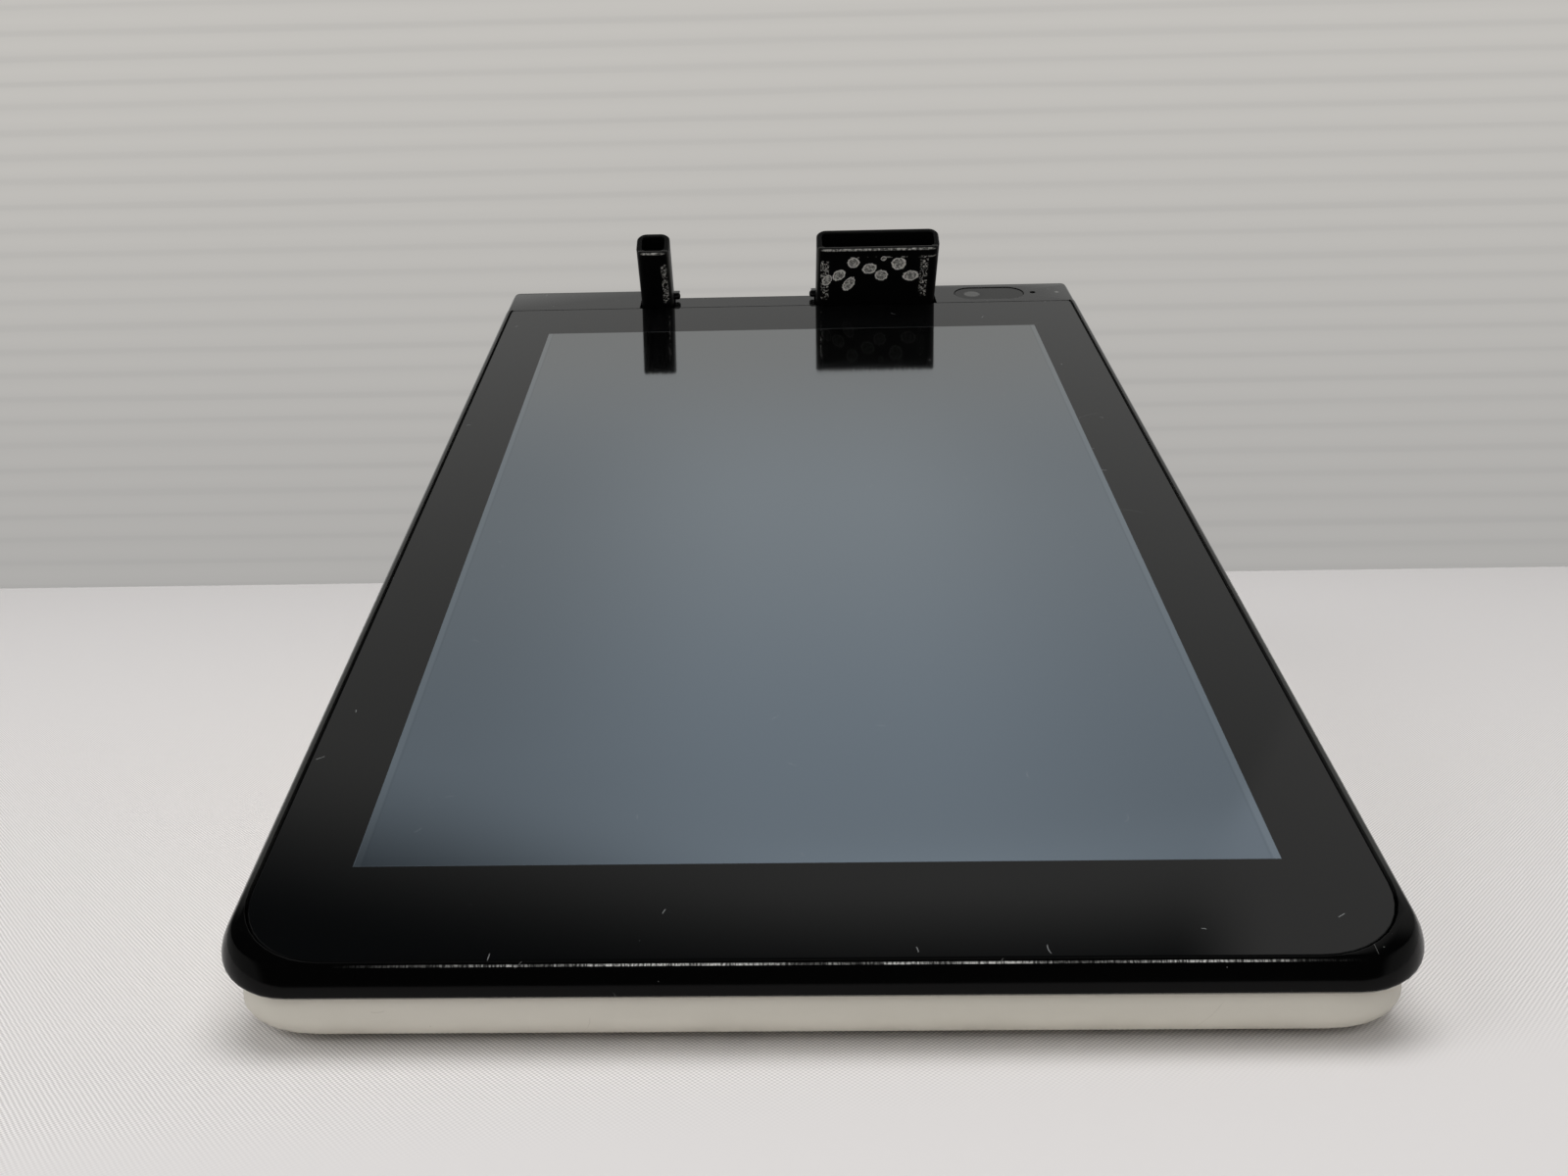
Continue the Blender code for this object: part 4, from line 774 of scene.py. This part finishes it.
# The strip's outlines from its flat bottom up over its crowned edge
def stripRings():
    s = topStrip
    depth, rings = s["crownDepth"] + s["lip"], []
    for step in range(s["steps"] + 1):
        a = 0.5 * math.pi * step / s["steps"]
        inset = s["crownWidth"] * (1 - math.cos(a) ** s["crownPower"])
        height = depth * math.sin(a) ** s["crownPower"] - depth
        if height <= s["bottom"]:
            continue
        half = s["half"] - inset * s["sideShare"]
        far = s["far"] - inset * s["farShare"]
        corner = s["farCorner"] - inset * s["cornerShare"]
        outline = roundOutline(-half, half, s["near"], far, s["nearCorner"], corner)
        if not rings:
            rings.append((outline, s["bottom"]))
        rings.append((outline, height))
    return rings


def makeTopStrip():
    s = topStrip
    piece = skinSolid("glossTopStrip", screenPlace, stripRings())
    left, right, near, far = s["notch"]
    x, y, long, wide = s["window"]
    micX, micY, radius = s["mic"]
    holes = {
        "notch": [(left, near), (right, near), (right, far), (left, far)],
        "windowHole": roundOutline(x - long, x + long, y - wide, y + wide, wide, wide),
        "micHole": roundOutline(
            micX - radius, micX + radius, micY - radius, micY + radius, radius, radius, 5
        ),
    }
    cutters = []
    for name, outline in holes.items():
        cutters.append(skinSolid(name, screenPlace, [(outline, height) for height in s["cut"]]))
    fit, deep, corner = s["fit"], s["postDepth"], s["postCorner"]
    for left, right in s["posts"]:
        outline = roundOutline(left - fit, right + fit, -deep - fit, deep + fit, corner, corner)
        cutters.append(skinSolid("postHole", postPlace, [(outline, -deep), (outline, deep)]))
    cutOut(piece, cutters)
    shadeByCrease(piece.data)
    seat(piece, "housing", "strip_gloss", "top_strip")
    print("strip cut for:", len(cutters))


# Rods on a grid, grown by Geometry Nodes and kept as a plain mesh
class Grower(Wiring):
    kinds = {"Columns": "Int", "Rows": "Int", "Turn": "Vector", "Finish": "Material"}

    def __init__(self, name, labels):
        self.tree = bpy.data.node_groups.new(name, "GeometryNodeTree")
        ports = self.tree.interface
        self.keys = {}
        for label in labels:
            kind = "NodeSocket" + self.kinds.get(label, "Float")
            port = ports.new_socket(label, in_out="INPUT", socket_type=kind)
            self.keys[label] = port.identifier
        ports.new_socket("Geometry", in_out="OUTPUT", socket_type="NodeSocketGeometry")
        self.start = self.tree.nodes.new("NodeGroupInput")
        self.end = self.tree.nodes.new("NodeGroupOutput")

    def size(self, label):
        return Flow(self, self.start.outputs[label])

    def grow(self, name, place, sizes):
        piece = shown(name, bpy.data.meshes.new(name))
        change = piece.modifiers.new("grow", "NODES")
        change.node_group = self.tree
        for label, value in sizes.items():
            change[self.keys[label]] = value
        settle(piece)
        piece.data.transform(turnOf(place))
        return piece


rod = {
    "labels": (
        "Columns", "Rows", "Column Pitch", "Row Pitch", "Length", "Radius", "Turn", "Finish",
    ),
    "points": 9,
    "sides": 10,
    "tip": 0.04,  # square of the least share of its radius that a rod keeps at its ends
}


def rodGrid():
    g = Grower("rodGrid", rod["labels"])
    columns, rows, length = g.size("Columns"), g.size("Rows"), g.size("Length")
    across = {"Size X": (columns - 1) * g.size("Column Pitch"), "Vertices X": columns}
    along = {"Size Y": (rows - 1) * g.size("Row Pitch"), "Vertices Y": rows}
    spots = g.get("GeometryNodeMeshGrid", {}, {**across, **along}, "Mesh")
    half = length * 0.5
    start = g.get("ShaderNodeCombineXYZ", {}, {"X": half * -1.0}, 0)
    end = g.get("ShaderNodeCombineXYZ", {}, {"X": half}, 0)
    line = g.get("GeometryNodeCurvePrimitiveLine", {}, {"Start": start, "End": end}, 0)
    line = g.get("GeometryNodeResampleCurve", {}, {"Curve": line, "Count": rod["points"]}, 0)
    share = g.get("GeometryNodeSplineParameter", {}, {}, "Factor") * 2 - 1
    fourth = share * share * share * share
    full = (1 - fourth * fourth).most(rod["tip"]).root()
    line = g.get("GeometryNodeSetCurveRadius", {}, {"Curve": line, "Radius": full}, 0)
    circle = {"Resolution": rod["sides"], "Radius": g.size("Radius")}
    ring = g.get("GeometryNodeCurvePrimitiveCircle", {}, circle, 0)
    swept = {"Curve": line, "Profile Curve": ring, "Fill Caps": True}
    one = g.get("GeometryNodeCurveToMesh", {}, swept, 0)
    placed = {"Points": spots, "Instance": one, "Rotation": g.size("Turn")}
    rods = g.get("GeometryNodeInstanceOnPoints", {}, placed, 0)
    rods = g.get("GeometryNodeRealizeInstances", {}, {"Geometry": rods}, 0)
    rods = g.get("GeometryNodeSetShadeSmooth", {}, {"Geometry": rods}, 0)
    dressed = {"Geometry": rods, "Material": g.size("Finish")}
    rods = g.get("GeometryNodeSetMaterial", {}, dressed, 0)
    g.tree.links.new(rods.socket, g.end.inputs["Geometry"])
    return g


# Ribs on the release button, spring contacts under the base, and the wires behind the speaker's
# slots. Sizes are in metres
rodSets = {
    "buttonRibs": {
        "place": {"origin": (0.0448, 0.07117, 0.08328), "turn": (0.0, 0.0, 0.0)},
        "sizes": {
            "Columns": 1, "Rows": 6, "Row Pitch": 0.0021, "Length": 0.0054, "Radius": 0.00042,
        },
        "body": "release",
        "slot": "dark_plastic",
    },
    "dockPins": {
        "place": {"origin": (0.0, -0.04684, 0.00195), "turn": (0.0, 0.0, 0.0)},
        "sizes": {
            "Columns": 5, "Rows": 2, "Column Pitch": 0.005, "Row Pitch": 0.0045,
            "Length": 0.0008, "Radius": 0.0011, "Turn": (0.0, math.pi / 2, 0.0),
        },
        "body": "housing",
        "slot": "sheet_steel",
        "look": "contactGold",
    },
    "speakerWires": {
        "place": {"origin": (-0.05530, 0.02116, 0.022), "turn": (90.0, 0.0, 90.0)},
        "sizes": {
            "Columns": 1, "Rows": 20, "Row Pitch": 0.0006, "Length": 0.0225, "Radius": 0.00006,
        },
        "body": "housing",
        "slot": "dark_plastic",
    },
    "speakerCrossWires": {
        "place": {"origin": (-0.05519, 0.02116, 0.022), "turn": (90.0, 0.0, 90.0)},
        "sizes": {
            "Columns": 37, "Rows": 1, "Column Pitch": 0.0006, "Length": 0.0118,
            "Radius": 0.00006, "Turn": (0.0, 0.0, math.pi / 2),
        },
        "body": "housing",
        "slot": "dark_plastic",
    },
}


def makeRods():
    grid = rodGrid()
    for name, kit in rodSets.items():
        look = kit.get("look", kit["slot"])
        piece = grid.grow(name, kit["place"], {**kit["sizes"], "Finish": finishes[look]})
        seat(piece, kit["body"], kit["slot"], None, look)
    print("rods grown:", len(rodSets))


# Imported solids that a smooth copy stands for, and the copy's name
smoothed = {
    "wedge_housing": "shellBody",
    "front_frame": "blackRim",
    "touch_glass": "sellerGlass",
    "wide_post": "widePost",
    "narrow_post": "narrowPost",
    "camera_window": "cameraWindow",
    "paper_cover": "printerCover",
    "release_button": "coverButton",
    "customer_frame": "customerRim",
    "customer_glass": "customerPane",
    "card_slot_surround": "cardMouth",
    "power_button": "powerKey",
    "volume_rocker": "volumeKey",
    "paper_roll": "receiptRoll",
    "roll_core": "rollCore",
    "platen_roller": "platenRubber",
    "platen_shaft": "platenSpindle",
    "paper_bucket": "rollBucket",
    "base_plate": "undersidePlate",
}
# Copies whose finish isn't their slot's usual one
ownLooks = {"customer_glass": "customerGlass", "camera_window": "cameraGlass"}
# The small lugs on the posts' inner sides: where each ends across the object, and their rounding
lugEnds = {"wide_post": 4.1, "narrow_post": -22.3}
lug = {"radius": 0.5, "steps": 4, "reach": 0.02}
# Panes that sit closer in their seams than the solids do: growth across and along, and lift
refits = {"touch_glass": (1.0026, 1.0015, 0.0), "camera_window": (1.0, 1.0, 0.13)}


def roundLug(mesh, end):
    def atEnd(edge):
        return all(abs(v.co.x / mm - end) < lug["reach"] for v in edge.verts)

    def change(work):
        tip = [edge for edge in work.edges if atEnd(edge)]
        sizes = {"offset": lug["radius"] * mm, "segments": lug["steps"], "profile": 0.5}
        bmesh.ops.bevel(work, geom=tip, affect="EDGES", **sizes)

    rework(mesh, change)


def refit(mesh, across, along, lift):
    place = turnOf(screenPlace)
    grow = Matrix.Diagonal((across, along, 1.0, 1.0))
    mesh.transform(place.inverted())
    mesh.transform(Matrix.Translation((0.0, 0.0, lift * mm)) @ grow)
    mesh.transform(place)


def dressNodes():
    for node, name in smoothed.items():
        source = cadNodes[node]
        finish = source.material_slots[0].material.name
        piece = smoothCopy(node, name)
        if node in lugEnds:
            roundLug(piece.data, lugEnds[node])
        if node in refits:
            refit(piece.data, *refits[node])
        seat(piece, source["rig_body"], finish, node, ownLooks.get(node))
    for source in cadNodes.values():
        for holder in source.material_slots:
            holder.material = finishes[holder.material.name]
    print("packed solids dressed:", len(cadNodes))


# A pale cloth on the counter, and a plain wall close behind it that only the camera sees, from
# its front
studio = {
    "cloth": (0.98, 0.950, 0.935, 1.0),
    "clothThread": (0.66, 0.635, 0.625, 1.0),
    "threadPitch": 0.40,
    "threadTurn": 39.0,
    "threadTone": (0.30, 0.6),
    "threadNear": (-137.0, -110.0),  # the weave blurs out close to the camera, and again far off
    "threadSlope": 0.17,
    "threadFar": (-60.0, 60.0),
    "threadDepth": 0.00006,
    "halfWidth": 1.7,
    "wallAt": 0.287,
    "wallTop": 1.3,
    "wallShadedLow": (0.418, 0.410, 0.398, 1.0),
    "wallHigh": (0.556, 0.540, 0.512, 1.0),
    "wallShadeFade": (-0.04, 0.24),
    "wallRib": 0.00905,
    "wallLine": (0.25, 0.25, 0.25, 1.0),
    "wallLineTones": (0.13, 0.030),
}


def flatSheet(name, corners, finish):
    mesh = bpy.data.meshes.new(name)
    mesh.from_pydata(corners, [], [(0, 1, 2, 3)])
    mesh.materials.append(finish)
    sheet = shown(name, mesh)
    return sheet


def makeCloth():
    p = Paint("counterCloth")
    spot = p.map(plainPlace)
    x, y = p.split(spot)[:2]
    uneven = p.noise(spot, 0.35, 3.0)
    wave = 2 * math.pi / studio["threadPitch"]
    a = math.radians(studio["threadTurn"])
    across, along, sway = x * math.cos(a), y * math.sin(a), uneven * 0.15
    first = ((across - along + sway) * wave).sine()
    second = ((across + along + sway) * wave).sine()
    clear = (y - x * studio["threadSlope"]).rise(*studio["threadNear"])
    clear = clear * (1 - y.rise(*studio["threadFar"]) * 0.8)
    least, more = studio["threadTone"]
    threads = (first + second) * clear * (least + uneven * more) + 0.5
    colour = p.blend(threads, studio["cloth"], studio["clothThread"])
    normal = p.relief(threads * 0.8 + uneven * 0.2, 0.3, studio["threadDepth"])
    return p.coat({"Base Color": colour, "Roughness": 0.9, "Normal": normal})


def makeWall():
    p = Paint("backWall")
    z = p.split(p.map(plainPlace, 1.0))[2]
    drift = p.noise(p.map(plainPlace, (0.4, 1.0, 0.01)), 1.5, 3.0)
    swell = (z * (2 * math.pi / studio["wallRib"]) + drift * 2.5).sine()
    crest, slope = studio["wallLineTones"]
    ribs = swell.rise(0.4, 1.0) * drift * crest + (swell + 1) * slope
    # painted shade: the wall is darker low, towards the counter
    colour = p.blend(z.rise(*studio["wallShadeFade"]), studio["wallShadedLow"], studio["wallHigh"])
    colour = p.blend(ribs, colour, studio["wallLine"])
    emitted = p.get("ShaderNodeEmission", {}, {"Color": colour, "Strength": 1.0}, 0)
    unseen = p.get("ShaderNodeBsdfTransparent", {}, {}, 0)
    behind = p.get("ShaderNodeNewGeometry", {}, {}, "Backfacing")
    return p.finish(p.either(behind, emitted, unseen))


def makeStage():
    wide, back, top = studio["halfWidth"], studio["wallAt"], studio["wallTop"]
    corners = [(-wide, -wide, 0), (wide, -wide, 0), (wide, wide, 0), (-wide, wide, 0)]
    flatSheet("counterTop", corners, makeCloth())
    corners = [(-wide, back, 0), (wide, back, 0), (wide, back, top), (-wide, back, top)]
    wall = flatSheet("backWall", corners, makeWall())
    for rays in ("glossy", "diffuse", "shadow", "transmission"):
        setattr(wall, "visible_" + rays, False)
    print("stage set")


# Soft light from above, and a sky that gloss sees as a pale room: lighter low, darker overhead
light = {
    "fill": 0.24,
    "room": (0.46, 0.46, 0.45, 1.0),
    "roomSide": (0.48, 0.475, 0.465, 1.0),
    "dim": (0.375, 0.375, 0.365, 1.0),
    "low": (0.44, 0.44, 0.43, 1.0),
    "dark": (0.018, 0.021, 0.023, 1.0),
    "behind": (0.03, 0.03, 0.03, 1.0),
    "backdrop": (0.56, 0.55, 0.52, 1.0),
    "aim": (0.0, 0.0, 0.04),
    "lamps": (  # name, place, width and power
        ("ceilingLamp", (0.05, -0.13, 1.20), 1.0, 7.6),
        ("sideLamp", (-1.0, -0.50, 0.85), 0.7, 2.6),
        ("frontLamp", (-0.10, -1.1, 0.7), 0.5, 2.9),
    ),
}
# Where the sky's parts lie, in shares of a unit direction: x is across, and y is straight ahead,
# about 1 at the horizon and 0 overhead
sky = {
    "slope": 0.17,  # the room's upper edge: how it leans across, and how far ahead it lies
    "ahead": 0.355,
    "dimToRoom": (0.05, 0.30),
    "middle": (-0.25, 0.05),
    "lowBand": (0.375, 0.415),
    "darkFrom": (-0.35, -0.05),
    "sideEdge": (0.587, 0.069, 0.289),  # slope, offset and least
    "sideSoft": (0.032, 0.020),
    "sideSharpFrom": (0.35, 0.40),
    "sideFrom": (0.12, 0.28),
    "litEdge": (-0.085, 0.05),
    "litFrom": (0.303, 0.383),
    "litDip": 0.15,
    "wideOpen": (0.60, 0.80),
}


def makeSky(world):
    p = Paint("softRoom", world)
    x, y = p.split(p.get("ShaderNodeTexCoord", {}, {}, "Generated"))[:2]
    height = y + x * sky["slope"] - sky["ahead"]
    middle = x.rise(*sky["middle"])
    low = 1 - y.rise(*sky["lowBand"])
    room = p.blend(height.rise(*sky["dimToRoom"]), light["dim"], light["room"])
    room = p.blend(middle * low, room, light["low"])
    over = p.blend(y.rise(*sky["darkFrom"]), light["behind"], light["dark"])
    slope, offset, least = sky["sideEdge"]
    wide, narrower = sky["sideSoft"]
    soft = wide - y.rise(*sky["sideSharpFrom"]) * narrower
    edge = (y * slope + offset).most(least)
    aside = ((x - edge) / soft).rise(-1.0, 1.0) * y.rise(*sky["sideFrom"])
    lit = height.rise(*sky["litEdge"]) * y.rise(*sky["litFrom"])
    lit = lit * (1 - (1 - middle) * low * sky["litDip"])
    shade = (1 - lit) * (1 - abs(x).rise(*sky["wideOpen"])) * (1 - aside)
    mirrored = p.blend(shade, p.blend(aside, room, light["roomSide"]), over)
    path = p.add("ShaderNodeLightPath", {}, {})
    rays = ("Is Camera Ray", "Is Glossy Ray", "Is Transmission Ray")
    camera, glossy, through = [Flow(p, path.outputs[name]) for name in rays]
    seen = p.blend(glossy.most(through), (light["fill"],) * 3 + (1.0,), mirrored)
    seen = p.blend(camera, seen, light["backdrop"])
    p.finish(p.get("ShaderNodeBackground", {}, {"Color": seen, "Strength": 1.0}, "Background"))


def makeLight():
    world = bpy.data.worlds.new("softRoom")
    bpy.context.scene.world = world
    makeSky(world)
    for name, place, size, power in light["lamps"]:
        data = bpy.data.lights.new(name, "AREA")
        data.shape = "DISK"
        data.size = size
        data.energy = power
        lamp = shown(name, data)
        lamp.location = place
        way = Vector(light["aim"]) - Vector(place)
        lamp.rotation_euler = way.to_track_quat("-Z", "Y").to_euler()
        lamp.visible_glossy = lamp.visible_camera = False
    bpy.context.scene.view_settings.view_transform = "Standard"
    print("lamps lit:", len(light["lamps"]))


view = {
    "place": (-0.003213, -0.247647, 0.059093),
    "turn": (83.858, 0.964, 1.407),
    "focal": 1427.0,  # in pixels of the 1600 wide picture
    "width": 1600.0,
    "height": 1200.0,
    "centre": (755.93, 585.9),
    "sensor": 36.0,
}


def makeCamera():
    data = bpy.data.cameras.new("counterCamera")
    data.sensor_width = view["sensor"]
    data.lens = view["sensor"] * view["focal"] / view["width"]
    data.shift_x = (0.5 * view["width"] - view["centre"][0]) / view["width"]
    data.shift_y = (view["centre"][1] - 0.5 * view["height"]) / view["width"]
    data.clip_start = mm
    camera = shown("counterCamera", data)
    camera.location = view["place"]
    camera.rotation_euler = Euler([math.radians(a) for a in view["turn"]], "XYZ")
    bpy.context.scene.camera = camera
    print("camera placed")


makeCamera()
makeStage()
makeLight()
makeFinishes()
dressNodes()
makeTopStrip()
makeRods()
